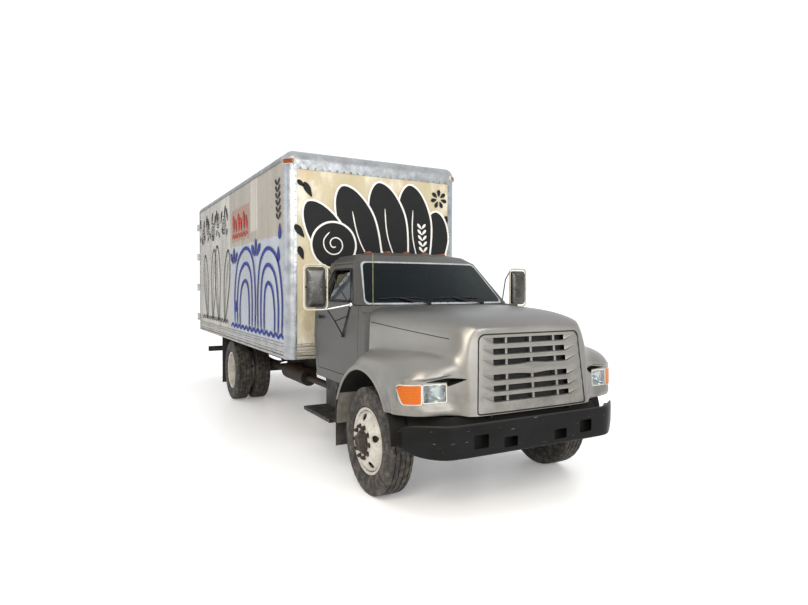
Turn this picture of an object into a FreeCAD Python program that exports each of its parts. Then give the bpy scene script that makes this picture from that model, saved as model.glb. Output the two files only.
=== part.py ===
"""A medium-duty conventional truck with a van body: ladder frame, tilting hood, hollow cab, swing doors.

Millimetres. +Z is up, the truck faces -Y, and the origin lies on the ground below the middle of its box.
Left and right are the truck's own, so left is +X.
"""
import FreeCAD, Part
import math
import os
import re
from types import SimpleNamespace
import Sketcher
from FreeCAD import Rotation, Vector

doc = FreeCAD.newDocument("BoxTruck")
sheet = doc.addObject("Spreadsheet::Sheet", "Sizes")
places = doc.addObject("App::VarSet", "Places")

SIZES = {
    # the whole truck
    "front_overhang": 1005, "wheelbase": 5232, "overrun": 60, "touch_gap": 0.3, "pin_play": 0.3,
    # tyres and disc wheels
    "tyre_diameter": 980, "tyre_width": 255, "tread_width": 212,
    "shoulder_drop": 24, "bead_width": 192, "wall_bulge_radius": 170,
    "rim_flange_radius": 303, "rim_flange_width": 9, "rim_barrel_radius": 284, "rim_wall": 9,
    "disc_thickness": 11, "disc_flat_radius": 172, "disc_bore": 110, "disc_offset": 155,
    "disc_join": 62, "dish_arc_radius": 150, "hand_hole_radius": 33, "hand_hole_circle": 222,
    "hand_hole_count": 5,
    "hub_radius": 92, "hub_reach": 34, "hub_cap_radius": 64, "hub_cap_reach": 20,
    "hub_flange_radius": 172, "hub_flange_thickness": 18, "spindle_radius": 40,
    "drum_radius": 212, "drum_width": 130,
    # front axle, knuckles and tie rod
    "front_track": 2020, "kingpin_spread": 1690, "kingpin_radius": 20, "boss_radius": 44,
    "beam_height": 90, "beam_width": 76, "beam_web": 20, "beam_flange": 20, "beam_drop": 62,
    "beam_seat_half": 540, "beam_rise": 110, "yoke_gap": 5, "yoke_thickness": 26, "yoke_half": 44,
    "yoke_web_setback": 54, "yoke_web": 34, "arm_length": 190, "arm_width": 46, "arm_thickness": 22,
    "ball_pin_radius": 10, "tie_rod_radius": 17, "tie_eye_radius": 25, "tie_eye_height": 38,
    "tie_play": 1, "tie_gap": 3, "knuckle_end_gap": 8,
    # rear axle and dual wheels
    "dual_centre_track": 1830, "rear_tube_radius": 60, "banjo_radius": 200, "banjo_width": 150,
    "banjo_cover_depth": 90, "banjo_cover_radius": 130, "pinion_radius": 84, "pinion_reach": 330,
    "backing_radius": 205, "backing_thickness": 14,
    # leaf springs
    "spring_width": 76, "leaf_thickness": 14, "leaf_count": 4, "leaf_step_share": 0.2,
    "front_spring_length": 1180, "rear_spring_length": 1400, "spring_camber": 64,
    "eye_radius": 27, "hanger_height": 120, "hanger_length": 96, "spring_seat_height": 26,
    "spring_offset": 12,
    # ladder frame
    "rail_height": 254, "rail_flange": 78, "rail_web": 9, "rail_spread": 864, "frame_top": 930,
    "frame_front_setback": 150, "frame_rear_setback": 70, "crossmember_height": 170,
    "crossmember_plate": 10, "crossmember_flange": 60, "bracket_thickness": 14,
    "bracket_half_height": 24,
    # front bumper
    "bumper_height": 262, "bumper_bottom": 520, "bumper_plate": 9, "bumper_return": 78,
    "bumper_half_width": 1180, "bumper_straight_half": 850, "bumper_sweep": 250,
    "bumper_bend_radius": 22, "tow_hole_width": 112, "tow_hole_height": 100, "tow_slot_height": 82,
    "outer_hole_x": 578, "outer_hole_z": 650, "inner_hole_x": 275, "inner_hole_z": 614,
    # hood with its fenders and nose
    "hood_wall": 10, "hood_gap": 9, "hood_length": 1000, "hood_height": 935, "flare_bottom": 795,
    "arch_radius": 560, "arch_centre_z": 592, "arch_setback": 30, "flare_width": 62,
    "hood_pivot_setback": 930, "hood_pivot_z": 836, "hood_pin_radius": 12, "hood_ear_width": 44,
    "fender_bottom": 864, "fender_half_width": 1220, "fender_front_setback": 835,
    "seam_y": 210, "seam_step_y": 400, "seam_top_y": 448, "seam_low_z": 1190, "seam_high_z": 1535,
    "seam_shoulder_z": 1655, "nose_bottom": 848, "nose_height": 762, "nose_front": 985,
    "nose_half": 700, "nose_half_top": 655, "nose_depth": 260, "nose_lean": 66, "nose_corner": 120,
    "grille_bottom": 862, "grille_height": 640, "grille_half_bottom": 594, "grille_half_top": 546,
    "grille_corner": 62, "grille_depth": 40, "grille_recess": 4, "slot_pitch": 90, "slot_height": 50,
    "slot_first_z": 968, "slot_half_width": 400, "centre_bar_height": 32, "divider_width": 24,
    "divider_pitch": 200, "slot_skew": 14, "slot_round": 8, "slot_rows": 6,
    "headlamp_inner_x": 818, "headlamp_width": 200, "lamp_bottom": 958, "lamp_height": 176,
    "turn_lamp_length": 190, "lamp_gap": 8, "lamp_depth": 70, "lamp_thickness": 45, "lamp_recess": 3,
    # cab
    "cab_floor_z": 862, "cab_floor_top": 960, "cab_sill_inner": 780, "cab_half": 1000,
    "cab_half_bottom": 968, "cab_waist_z": 1330,
    "belt_z": 1705, "belt_half": 984, "cab_back_reach": 1745, "cab_wall": 50, "cowl_y": 224,
    "cowl_bow": 6, "cab_corner": 110, "screen_bow": 72,
    "greenhouse_corner": 60, "greenhouse_half": 968,
    "greenhouse_rear_inset": 12, "roof_edge_z": 2172, "roof_edge_half": 792,
    "roof_edge_rear_inset": 45, "roof_crown_z": 2288, "roof_shoulder_z": 2248,
    "roof_shoulder_half": 700, "roof_shoulder_rear_inset": 90,
    "roof_crown_half": 480, "roof_crown_rear_inset": 200,
    "door_bottom_z": 966, "door_top_z": 2150, "door_gap": 6,
    "pillar_foot_z": 1712, "door_corner": 60,
    "window_sill_z": 1752, "window_head_z": 2088, "window_corner": 42,
    "glass_inset": 18, "glass_thickness": 6,
    "screen_half_bottom": 842, "screen_half_top": 715, "screen_foot_z": 1742,
    "screen_head_z": 2140, "screen_corner": 60, "back_window_half": 560,
    "back_window_bottom": 1790, "back_window_top": 2070,
    "handle_z": 1555, "handle_length": 130, "handle_height": 34,
    "handle_depth": 14,
    # cab furniture
    "seat_z": 1090, "seat_thickness": 150, "seat_width": 540, "seat_depth": 480, "seat_x": 480,
    "seat_back_height": 640, "seat_back_thickness": 120, "seat_base_half": 180,
    "dash_height": 340, "dash_depth": 370, "dash_top_z": 1640, "dash_half": 860,
    "steering_wheel_radius": 215, "steering_rim_radius": 14, "steering_x": 480,
    "steering_y": 850, "steering_z": 1560, "steering_tilt": 50, "column_radius": 26,
    "column_length": 360, "spoke_radius": 11,
    # mirrors
    "mirror_width": 190, "mirror_height": 400, "mirror_depth": 62, "mirror_x": 1310,
    "mirror_z": 1890, "mirror_tube_radius": 9, "mirror_loop_margin": 30,
    "mirror_top_foot_z": 1735, "mirror_low_foot_z": 1300,
    "mirror_corner": 26, "mirror_foot_spread": 110,
    # steps, tank, battery box, flaps
    "step_z": 500, "step_thickness": 38, "step_half": 1115, "step_width": 280,
    "skirt_thickness": 14, "bracket_width": 60,
    "tank_radius": 280, "tank_length": 1050, "tank_y": 2900, "tank_z": 640, "tank_gap": 10,
    "strap_width": 46, "strap_thickness": 6, "battery_length": 560, "battery_depth": 380,
    "battery_height": 300, "battery_y": 1990, "flap_thickness": 10, "front_flap_y": 640,
    "front_flap_bottom": 300, "front_flap_width": 300, "rear_flap_setback": 640,
    "rear_flap_bottom": 190,
    # engine, gearbox, drive line, radiator, exhaust
    "engine_length": 900, "engine_width": 560, "engine_height": 740, "engine_bottom": 640,
    "engine_front": 700, "gearbox_length": 720, "gearbox_radius": 170, "gearbox_z": 665,
    "gearbox_tail_radius": 95, "shaft_radius": 50, "shaft_end_gap": 3, "radiator_width": 700,
    "radiator_height": 600, "radiator_depth": 70, "radiator_setback": 800,
    "muffler_radius": 118, "muffler_length": 900, "muffler_y": 3000, "muffler_x": 600,
    "muffler_z": 620, "exhaust_radius": 46, "tail_pipe_length": 780, "exhaust_lead": 900,
    # van body
    "body_gap": 305, "body_length": 5960, "body_width": 2440, "body_bottom": 1006,
    "body_top": 3558, "skin_recess": 9, "panel_thickness": 34, "base_rail_height": 196,
    "rib_height": 18, "rib_count": 5, "corner_radius": 120, "post_width": 128,
    "front_rail_height": 230, "side_rail_height": 120,
    "roof_bow_height": 40, "roof_bow_width": 40, "roof_bow_pitch": 610,
    "floor_thickness": 32, "sill_beam_width": 76, "cross_sill_height": 92,
    "cross_sill_width": 46, "cross_sill_pitch": 610, "cross_sill_margin": 120,
    # rear frame, cargo doors and their hardware
    "rear_post_width": 60, "rear_frame_depth": 70, "rear_header_height": 240,
    "cargo_door_thickness": 38, "cargo_door_gap": 6, "centre_gap": 12,
    "hinge_pin_radius": 8, "hinge_knuckle_radius": 16, "hinge_out": 30, "hinge_back": 22,
    "hinge_leaf_height": 70, "hinge_leaf_thickness": 8, "hinge_leaf_length": 250, "leaf_play": 1,
    "knuckle_play": 5, "hinge_lug_height": 28, "hinge_lug_overlap": 40, "lock_rod_radius": 13,
    "lock_rod_stand": 8, "lock_rod_x": 240, "lock_reach": 40, "rod_guide_height": 70,
    "rod_guide_width": 70, "rod_guide_gap": 6, "keeper_height": 56, "lock_handle_length": 360,
    "lock_handle_height": 30, "lock_handle_share": 0.24,
    # lamps
    "marker_width": 80, "marker_height": 36, "marker_depth": 15, "marker_drop": 96,
    "roof_lamp_width": 96, "roof_lamp_height": 40, "roof_lamp_depth": 60, "roof_lamp_x": 510,
 "tail_lamp_radius": 50, "tail_lamp_depth": 34, "tail_lamp_x": 980,
    "rear_bumper_height": 100, "rear_bumper_z": 540, "rear_bumper_half": 1050,
    "rear_bumper_depth": 70, "bumper_hanger_width": 90,
}

# places along the cab, as shares of the way from the front axle to the cab's back
CAB_SHARES = {
    "screen_foot_y": 0.3295, "roof_edge_y": 0.5645, "roof_shoulder_y": 0.6361, "roof_crown_y": 0.7163,
    "door_front_y": 0.2751, "door_rear_y": 0.9318, "door_head_y": 0.5931, "door_head_rear_y": 0.9112,
    "pillar_foot_y": 0.3668, "window_front_y": 0.4115, "window_head_y": 0.5857,
    "window_rear_y": 0.8711, "window_head_rear_y": 0.8596, "handle_y": 0.8682, "seat_y": 0.6246,
    "mirror_y": 0.4653, "mirror_foot_y": 0.5158, "step_front_y": 0.533, "step_length": 0.4642,
    "roof_lamp_y": 0.7393,
}

PLACES = {
    **{name: f"cab_back_reach * {share}" for name, share in CAB_SHARES.items()},
    "body_setback": "cab_back_reach + body_gap",
    "overall_length": "front_overhang + body_setback + body_length + lock_reach",
    "front_axle_y": "front_overhang - overall_length / 2",
    "rear_axle_y": "front_axle_y + wheelbase",
    "axle_z": "tyre_diameter / 2",
    "bumper_y": "front_axle_y - front_overhang",
    "cab_back_y": "front_axle_y + cab_back_reach",
    "body_front_y": "front_axle_y + body_setback",
    "body_rear_y": "body_front_y + body_length",
    "body_half": "body_width / 2",
    "rail_bottom": "frame_top - rail_height",
    "rail_half": "rail_spread / 2",
    "floor_top": "body_bottom + cross_sill_height + floor_thickness",
    "frame_front_y": "bumper_y + frame_front_setback",
    "frame_rear_y": "body_rear_y - frame_rear_setback",
    "front_wheel_x": "front_track / 2",
    "kingpin_x": "kingpin_spread / 2",
    "inner_dual_x": "dual_centre_track / 2 - disc_offset",
    "outer_dual_x": "dual_centre_track / 2 + disc_offset",
    "hinge_x": "body_half + hinge_out",
    "hinge_y": "body_rear_y + hinge_back",
    "door_foot_z": "floor_top",
    "door_head_z": "body_top - rear_header_height",
    "front_spring_z": "axle_z + beam_height / 2 - beam_drop + spring_seat_height",
    "rear_spring_z": "axle_z + rear_tube_radius + spring_seat_height",
    "radiator_bottom": "frame_top - rail_height / 2 + crossmember_height / 2",
    "wall_inner": "body_half - skin_recess - panel_thickness",
    "rear_post_inner": "body_half - rear_post_width",
}

NAME = re.compile(r"[a-z][a-z0-9_]*")


def bind(formula):
    """Turns a formula in plain size names into one that reads the sheet and the derived places."""
    def owner(match):
        word = match.group(0)
        if word in SIZES:
            return "Sizes." + word
        return "Places." + word if word in PLACES else word
    return NAME.sub(owner, str(formula))


for row, (alias, value) in enumerate(SIZES.items(), 1):
    sheet.set(f"A{row}", alias.replace("_", " "))
    sheet.set(f"B{row}", str(value))
    sheet.setAlias(f"B{row}", alias)
doc.recompute()
for alias, formula in PLACES.items():
    places.addProperty("App::PropertyFloat", alias, "Derived")
    places.setExpression(alias, bind(formula))
    doc.recompute()
places.addProperty("App::PropertyFloat", "reading", "Derived")

at = SimpleNamespace(**{n: float(sheet.get(n)) for n in SIZES},
                     **{n: getattr(places, n) for n in PLACES})
ACROSS, ALONG, UP = Vector(1, 0, 0), Vector(0, 1, 0), Vector(0, 0, 1)


def number_of(formula):
    """What a formula in size names comes to now."""
    places.setExpression("reading", bind(formula))
    places.recompute()
    return places.reading


nodes = {}


def node(name, obj):
    """Names a finished piece: its label is the name of its file."""
    obj.Label = name
    nodes[name] = obj
    return obj


def set_at(obj, where):
    for axis, formula in zip("xyz", where):
        obj.setExpression(f"Placement.Base.{axis}", bind(formula))
    return obj


def block(name, size, where):
    """A box with its lowest corner at where."""
    obj = doc.addObject("Part::Box", name)
    for side, formula in zip(("Length", "Width", "Height"), size):
        obj.setExpression(side, bind(formula))
    return set_at(obj, where)


TURNS = {"x": Rotation(ALONG, 90), "y": Rotation(ACROSS, -90), "z": Rotation()}


def rod(name, radius, length, where, along="z"):
    """A cylinder that starts at where and runs along an axis."""
    obj = doc.addObject("Part::Cylinder", name)
    obj.setExpression("Radius", bind(radius))
    obj.setExpression("Height", bind(length))
    obj.Placement.Rotation = TURNS[along]
    return set_at(obj, where)


def taper(name, radius, end_radius, length, where, along="z"):
    """A cone that starts at where and runs along an axis."""
    obj = doc.addObject("Part::Cone", name)
    obj.setExpression("Radius1", bind(radius))
    obj.setExpression("Radius2", bind(end_radius))
    obj.setExpression("Height", bind(length))
    obj.Placement.Rotation = TURNS[along]
    return set_at(obj, where)


def fuse(name, *pieces):
    obj = doc.addObject("Part::MultiFuse", name)
    obj.Shapes = list(pieces)
    obj.Refine = True
    return obj


def cut(name, base, *tools):
    obj = doc.addObject("Part::Cut", name)
    obj.Base = base
    obj.Tool = tools[0] if len(tools) == 1 else fuse(name + "_tools", *tools)
    return obj


def gathered(name, *pieces):
    """Like pieces that don't touch, kept as one node."""
    obj = doc.addObject("Part::Compound", name)
    obj.Links = list(pieces)
    return obj


def mirrored(name, source):
    """The same piece on the other side of the truck."""
    obj = doc.addObject("Part::Mirroring", name)
    obj.Source = source
    obj.Normal = ACROSS
    return obj


def feature(name, shape):
    obj = doc.addObject("Part::Feature", name)
    obj.Shape = shape
    return obj


def outlined(body, name, plane, points):
    """A sketch on one of the body's planes. Each point is (across, up), or (across, up, radius) where
    an arc leads to it; a positive radius has its centre to the left of the way drawn."""
    sketch = body.newObject("Sketcher::SketchObject", name)
    origin = next(f for f in body.Origin.OriginFeatures if f.Role == plane)
    sketch.AttachmentSupport = [(origin, "")]
    sketch.MapMode = "FlatFace"
    spots = [Vector(number_of(p[0]), number_of(p[1]), 0) for p in points]
    count = len(points)
    for i in range(count):
        start, end = spots[i], spots[(i + 1) % count]
        target = points[(i + 1) % count]
        if len(target) == 2:
            sketch.addGeometry(Part.LineSegment(start, end), False)
            continue
        radius = number_of(target[2])
        chord = end - start
        rise = math.sqrt(max(radius * radius - chord.Length ** 2 / 4, 0))
        side = Vector(-chord.y, chord.x, 0).normalize() * math.copysign(1, radius)
        middle = (start + end) / 2 + side * (rise - abs(radius))
        ends = (start, end) if radius > 0 else (end, start)
        sketch.addGeometry(Part.Arc(ends[0], middle, ends[1]), False)

    def corner_of(k, spot):
        """Which end of an edge lies on a spot."""
        edge = sketch.Geometry[k]
        return 1 if edge.StartPoint.distanceToPoint(spot) < edge.EndPoint.distanceToPoint(spot) else 2

    for i in range(count):
        j = (i + 1) % count
        sketch.addConstraint(Sketcher.Constraint("Coincident", i, corner_of(i, spots[j]),
                                                 j, corner_of(j, spots[j])))
    for i, point in enumerate(points):
        corner = corner_of(i, spots[i])
        for kind, formula, number in (("DistanceX", point[0], spots[i].x),
                                      ("DistanceY", point[1], spots[i].y)):
            k = sketch.addConstraint(Sketcher.Constraint(kind, -1, 1, i, corner, number))
            sketch.setExpression(f"Constraints[{k}]", bind(formula))
        if len(point) == 3:
            radius = abs(number_of(point[2]))
            k = sketch.addConstraint(Sketcher.Constraint("Radius", (i - 1) % count, radius))
            sketch.setExpression(f"Constraints[{k}]", bind(f"abs({point[2]})"))
    return sketch


def profile(name, plane, points, length, where=(0, 0, 0)):
    """A body made by one outline, drawn out equally to both sides of its plane."""
    body = set_at(doc.addObject("PartDesign::Body", name), where)
    pad = body.newObject("PartDesign::Pad", name + "_pad")
    pad.Profile = outlined(body, name + "_outline", plane, points)
    pad.setExpression("Length", bind(length))
    pad.Midplane = True
    body.Tip = pad
    return body


def turned(name, points, where=(0, 0, 0)):
    """A body made by turning an outline of (across, radius) points about the line across the truck."""
    body = set_at(doc.addObject("PartDesign::Body", name), where)
    turn = body.newObject("PartDesign::Revolution", name + "_turn")
    sketch = outlined(body, name + "_outline", "XY_Plane", points)
    turn.Profile = sketch
    turn.ReferenceAxis = (sketch, ["H_Axis"])
    turn.Angle = 360
    body.Tip = turn
    return body


def rounded_wire(corners, radii):
    """A closed flat wire with the given radius at each corner, or none where it is zero."""
    edges, ends = [], []
    for i, corner in enumerate(corners):
        back = (corners[i - 1] - corner).normalize()
        ahead = (corners[(i + 1) % len(corners)] - corner).normalize()
        radius = radii[i] if isinstance(radii, (list, tuple)) else radii
        if radius == 0:
            ends.append((corner, None, corner))
            continue
        half = back.getAngle(ahead) / 2
        reach = radius / math.tan(half)
        bisector = (back + ahead).normalize()
        centre = corner + bisector * (radius / math.sin(half))
        ends.append((corner + back * reach, centre - bisector * radius, corner + ahead * reach))
    for i, (start, middle, end) in enumerate(ends):
        if middle is not None:
            edges.append(Part.Arc(start, middle, end).toShape())
        edges.append(Part.LineSegment(end, ends[(i + 1) % len(ends)][0]).toShape())
    return Part.Wire(edges)


def side_wire(points, radii, x=0):
    """A rounded outline seen from the side, of (y from the front axle, z) points."""
    return rounded_wire([Vector(x, at.front_axle_y + y, z) for y, z in points], radii)


def front_wire(points, radii, y=0):
    """A rounded outline seen from the front, of (x, z) points."""
    return rounded_wire([Vector(x, y, z) for x, z in points], radii)


def drawn_out(wire, way):
    return Part.Face(wire).extrude(way)


def box_shape(x, y, z):
    """A plain box between the low and high ends given for each axis."""
    return Part.makeBox(x[1] - x[0], y[1] - y[0], z[1] - z[0], Vector(x[0], y[0], z[0]))


# Tyres, one turned body for each place
def tyre(name, x, y):
    half, tread, bead = "tyre_width / 2", "tread_width / 2", "(bead_width / 2 - touch_gap)"
    low, flange_top = "rim_barrel_radius + touch_gap", "rim_flange_radius + touch_gap"
    belly = "(rim_barrel_radius + tyre_diameter / 2) / 2"
    outline = [(f"-{bead}", low),
               (bead, low),
               (bead, flange_top),
               (half, belly, "wall_bulge_radius"),
               (tread, "tyre_diameter / 2 - shoulder_drop", "wall_bulge_radius"),
               (f"{tread} - shoulder_drop", "tyre_diameter / 2"),
               (f"shoulder_drop - {tread}", "tyre_diameter / 2"),
               (f"-{tread}", "tyre_diameter / 2 - shoulder_drop"),
               (f"-{half}", belly, "wall_bulge_radius"),
               (f"-{bead}", flange_top, "wall_bulge_radius")]
    return turned(name, outline, (x, y, "axle_z"))


# Disc wheels: a drop of barrel, a dished disc with hand holes; the dish stands out to +X
def disc_wheel(name, x, y):
    lip = "bead_width / 2 + rim_flange_width"
    inner = "rim_barrel_radius - rim_wall"
    outline = [(f"-({lip})", "rim_flange_radius"),
               ("-bead_width / 2", "rim_flange_radius"),
               ("-bead_width / 2", "rim_barrel_radius"),
               ("bead_width / 2", "rim_barrel_radius"),
               ("bead_width / 2", "rim_flange_radius"),
               (lip, "rim_flange_radius"),
               (lip, inner),
               ("disc_join + disc_thickness", inner),
               ("disc_offset", "disc_flat_radius", "-dish_arc_radius"),
               ("disc_offset", "disc_bore"),
               ("disc_offset - disc_thickness", "disc_bore"),
               ("disc_offset - disc_thickness", "disc_flat_radius"),
               ("disc_join", inner, "dish_arc_radius"),
               (f"-({lip})", inner)]
    wheel = turned(name + "_disc", outline, (x, y, "axle_z"))
    holes = []
    for k in range(int(at.hand_hole_count)):
        turn = f"{k} * 360 / hand_hole_count"
        holes.append(rod(f"{name}_hole_{k}", "hand_hole_radius", "disc_offset + overrun",
                         (x, f"{y} + hand_hole_circle * sin({turn})",
                          f"axle_z + hand_hole_circle * cos({turn})"), "x"))
    return cut(name, wheel, *holes)


# The wheel's hub: flange, barrel bored for the spindle, brake drum and cap
def hub(name, x, y, face, inboard):
    back = f"({face} - disc_thickness - hub_flange_thickness)"
    outline = [(f"{back} - {inboard}", "spindle_radius + pin_play"),
               (f"{face}", "spindle_radius + pin_play"),
               (f"{face}", "0"),
               (f"{face} + hub_reach + hub_cap_reach", "0"),
               (f"{face} + hub_reach + hub_cap_reach", "hub_cap_radius"),
               (f"{face} + hub_reach", "hub_radius - hub_cap_reach"),
               (f"{face}", "hub_radius"),
               (f"{face} - disc_thickness", "hub_radius"),
               (f"{face} - disc_thickness", "hub_flange_radius"),
               (back, "hub_flange_radius"),
               (back, "drum_radius"),
               (f"{back} - {inboard}", "drum_radius"),
               (f"{back} - {inboard}", "drum_radius - hub_flange_thickness"),
               (f"{back} - hub_flange_thickness", "drum_radius - hub_flange_thickness"),
               (f"{back} - hub_flange_thickness", "hub_radius"),
               (f"{back} - {inboard}", "hub_radius")]
    return turned(name, outline, (x, y, "axle_z"))


def front_wheels():
    wheel = disc_wheel("front_wheel", "front_wheel_x", "front_axle_y")
    centre = hub("front_hub", "front_wheel_x", "front_axle_y", "disc_offset", "drum_width")
    whole = fuse("front_wheel_left", wheel, centre, hub_web("front", "front_wheel_x", "front_axle_y"))
    node("rim_front_left", whole)
    node("rim_front_right", mirrored("front_wheel_right", whole))
    node("tyre_front_left", tyre("tyre_front_left", "front_wheel_x", "front_axle_y"))
    node("tyre_front_right", tyre("tyre_front_right", "-front_wheel_x", "front_axle_y"))


def hub_web(name, x, y, out=1):
    """The ring that fills the disc's bore round the hub; out is -1 where the dish stands in to -X."""
    start = f"{x} + disc_offset - disc_thickness" if out > 0 else f"{x} - disc_offset"
    where = (start, y, "axle_z")
    ring = rod(name + "_web", "disc_bore + touch_gap", "disc_thickness", where, "x")
    bore = rod(name + "_web_bore", "spindle_radius + pin_play", "disc_thickness", where, "x")
    return cut(name + "_web_ring", ring, bore)


def rear_wheels():
    """Two disc wheels back to back on one hub: the inner dish stands out, the outer one stands in."""
    inner = disc_wheel("rear_inner_wheel", "inner_dual_x", "rear_axle_y")
    outer = disc_wheel("rear_outer_wheel", "-outer_dual_x", "rear_axle_y")
    centre = hub("rear_hub", "inner_dual_x", "rear_axle_y", "disc_offset + disc_thickness", "drum_width")
    whole = fuse("rear_wheels_left", inner, mirrored("rear_outer_left", outer), centre,
                 hub_web("rear_inner", "inner_dual_x", "rear_axle_y"),
                 hub_web("rear_outer", "outer_dual_x", "rear_axle_y", -1))
    node("rims_rear_left", whole)
    node("rims_rear_right", mirrored("rear_wheels_right", whole))
    for side, sign in (("left", ""), ("right", "-")):
        pair = [tyre(f"tyre_{k}_{side}", f"{sign}{k}_dual_x", "rear_axle_y") for k in ("inner", "outer")]
        node(f"tyres_rear_{side}", gathered(f"tyres_rear_{side}", *pair))


front_wheels()
rear_wheels()


# Front axle: a dropped I-beam with a boss at each kingpin
def front_axle():
    seat, ramp, end = "beam_seat_half", "beam_seat_half + beam_rise", "kingpin_x"

    def strip(name, top, bottom, width):
        """One flange or the web, between two heights measured from the beam's upper face."""
        spots = [(end, "beam_height / 2"), (ramp, "beam_height / 2"), (seat, "beam_height / 2 - beam_drop")]
        upper = [(x, f"{z} - ({top})") for x, z in spots]
        upper += [(f"-({x})", z) for x, z in reversed(upper)]
        lower = [(x, f"{z} - ({bottom})") for x, z in spots]
        lower = [(f"-({x})", z) for x, z in lower] + list(reversed(lower))
        return profile(name, "XZ_Plane", upper + lower, width, (0, "front_axle_y", "axle_z"))

    beam = [strip("beam_top", "0", "beam_flange", "beam_width"),
            strip("beam_web", "beam_flange", "beam_height - beam_flange", "beam_web"),
            strip("beam_bottom", "beam_height - beam_flange", "beam_height", "beam_width")]
    bosses, bores = [], []
    for sign in ("", "-"):
        where = (f"{sign}kingpin_x", "front_axle_y", "axle_z - beam_height / 2")
        bosses.append(rod("boss", "boss_radius", "beam_height", where))
        bores.append(rod("boss_bore", "kingpin_radius + pin_play", "beam_height", where))
    node("front_axle", cut("front_axle", fuse("axle_beam", *beam, *bosses), *bores))


# Steering knuckle: a yoke over the beam's boss, the spindle and the arm that the tie rod joins
def knuckle():
    def ear(name, low):
        return block(name, ("yoke_half + yoke_web_setback + yoke_web", "2 * yoke_half", "yoke_thickness"),
                     ("kingpin_x - yoke_half", "front_axle_y - yoke_half", low))

    top = "axle_z + beam_height / 2 + yoke_gap"
    bottom = "axle_z - beam_height / 2 - yoke_gap - yoke_thickness"
    height = "beam_height + 2 * yoke_gap + 2 * yoke_thickness"
    web = block("yoke_web", ("yoke_web", "2 * yoke_half", height),
                ("kingpin_x + yoke_web_setback", "front_axle_y - yoke_half", bottom))
    pin = rod("kingpin", "kingpin_radius", height, ("kingpin_x", "front_axle_y", bottom))
    spindle = rod("spindle", "spindle_radius",
                  "front_wheel_x + disc_offset - kingpin_x - yoke_web_setback - knuckle_end_gap",
                  ("kingpin_x + yoke_web_setback", "front_axle_y", "axle_z"), "x")
    arm = block("steer_arm", ("arm_width", "arm_length", "arm_thickness"),
                ("kingpin_x - arm_width / 2", "front_axle_y", bottom))
    arm_end = rod("steer_arm_end", "arm_width / 2", "arm_thickness",
                  ("kingpin_x", "front_axle_y + arm_length", bottom))
    ball = rod("ball_pin", "ball_pin_radius", "arm_thickness + tie_gap + tie_eye_height",
               ("kingpin_x", "front_axle_y + arm_length", bottom))
    whole = fuse("knuckle_left", ear("yoke_top", top), ear("yoke_bottom", bottom), web, pin, spindle,
                 arm, arm_end, ball)
    node("knuckle_left", whole)
    node("knuckle_right", mirrored("knuckle_right", whole))


# Tie rod: a bar with an eye over each ball pin
def tie_rod():
    level = "axle_z - beam_height / 2 - yoke_gap - yoke_thickness + arm_thickness + tie_gap"
    y = "front_axle_y + arm_length"
    middle = f"{level} + tie_eye_height / 2"
    bar = rod("tie_bar", "tie_rod_radius", "2 * kingpin_x", ("-kingpin_x", y, middle), "x")
    eyes, bores = [], []
    for sign in ("", "-"):
        where = (f"{sign}kingpin_x", y, level)
        eyes.append(rod("tie_eye", "tie_eye_radius", "tie_eye_height", where))
        bores.append(rod("tie_bore", "ball_pin_radius + tie_play", "tie_eye_height", where))
    node("tie_rod", cut("tie_rod", fuse("tie_bar_and_eyes", bar, *eyes), *bores))


# Rear axle: tubes, a banjo with its domed cover, the pinion nose and the brake backing plates
def rear_axle():
    x_end = "inner_dual_x + disc_offset"
    where_y = "rear_axle_y"
    tube = rod("rear_tube", "rear_tube_radius", "2 * (inner_dual_x - disc_join)",
               ("disc_join - inner_dual_x", where_y, "axle_z"), "x")
    spindles = rod("rear_spindles", "spindle_radius", f"2 * ({x_end} - knuckle_end_gap)",
                   (f"knuckle_end_gap - ({x_end})", where_y, "axle_z"), "x")
    ring = rod("banjo", "banjo_radius", "banjo_width", (0, f"{where_y} - banjo_width / 2", "axle_z"), "y")
    cover = taper("banjo_cover", "banjo_radius", "banjo_cover_radius", "banjo_cover_depth",
                  (0, f"{where_y} + banjo_width / 2", "axle_z"), "y")
    nose = taper("pinion_nose", "pinion_radius", "banjo_cover_radius", "pinion_reach - banjo_width / 2",
                 (0, f"{where_y} - pinion_reach", "axle_z"), "y")
    plates = []
    inside = "inner_dual_x - disc_join"
    for sign, start in (("", inside), ("-", f"{inside} + backing_thickness")):
        plates.append(rod("backing_plate", "backing_radius", "backing_thickness",
                          (f"{sign}({start})", where_y, "axle_z"), "x"))
    node("rear_axle", fuse("rear_axle", tube, spindles, ring, cover, nose, *plates))

front_axle()
knuckle()
tie_rod()
rear_axle()


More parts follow.
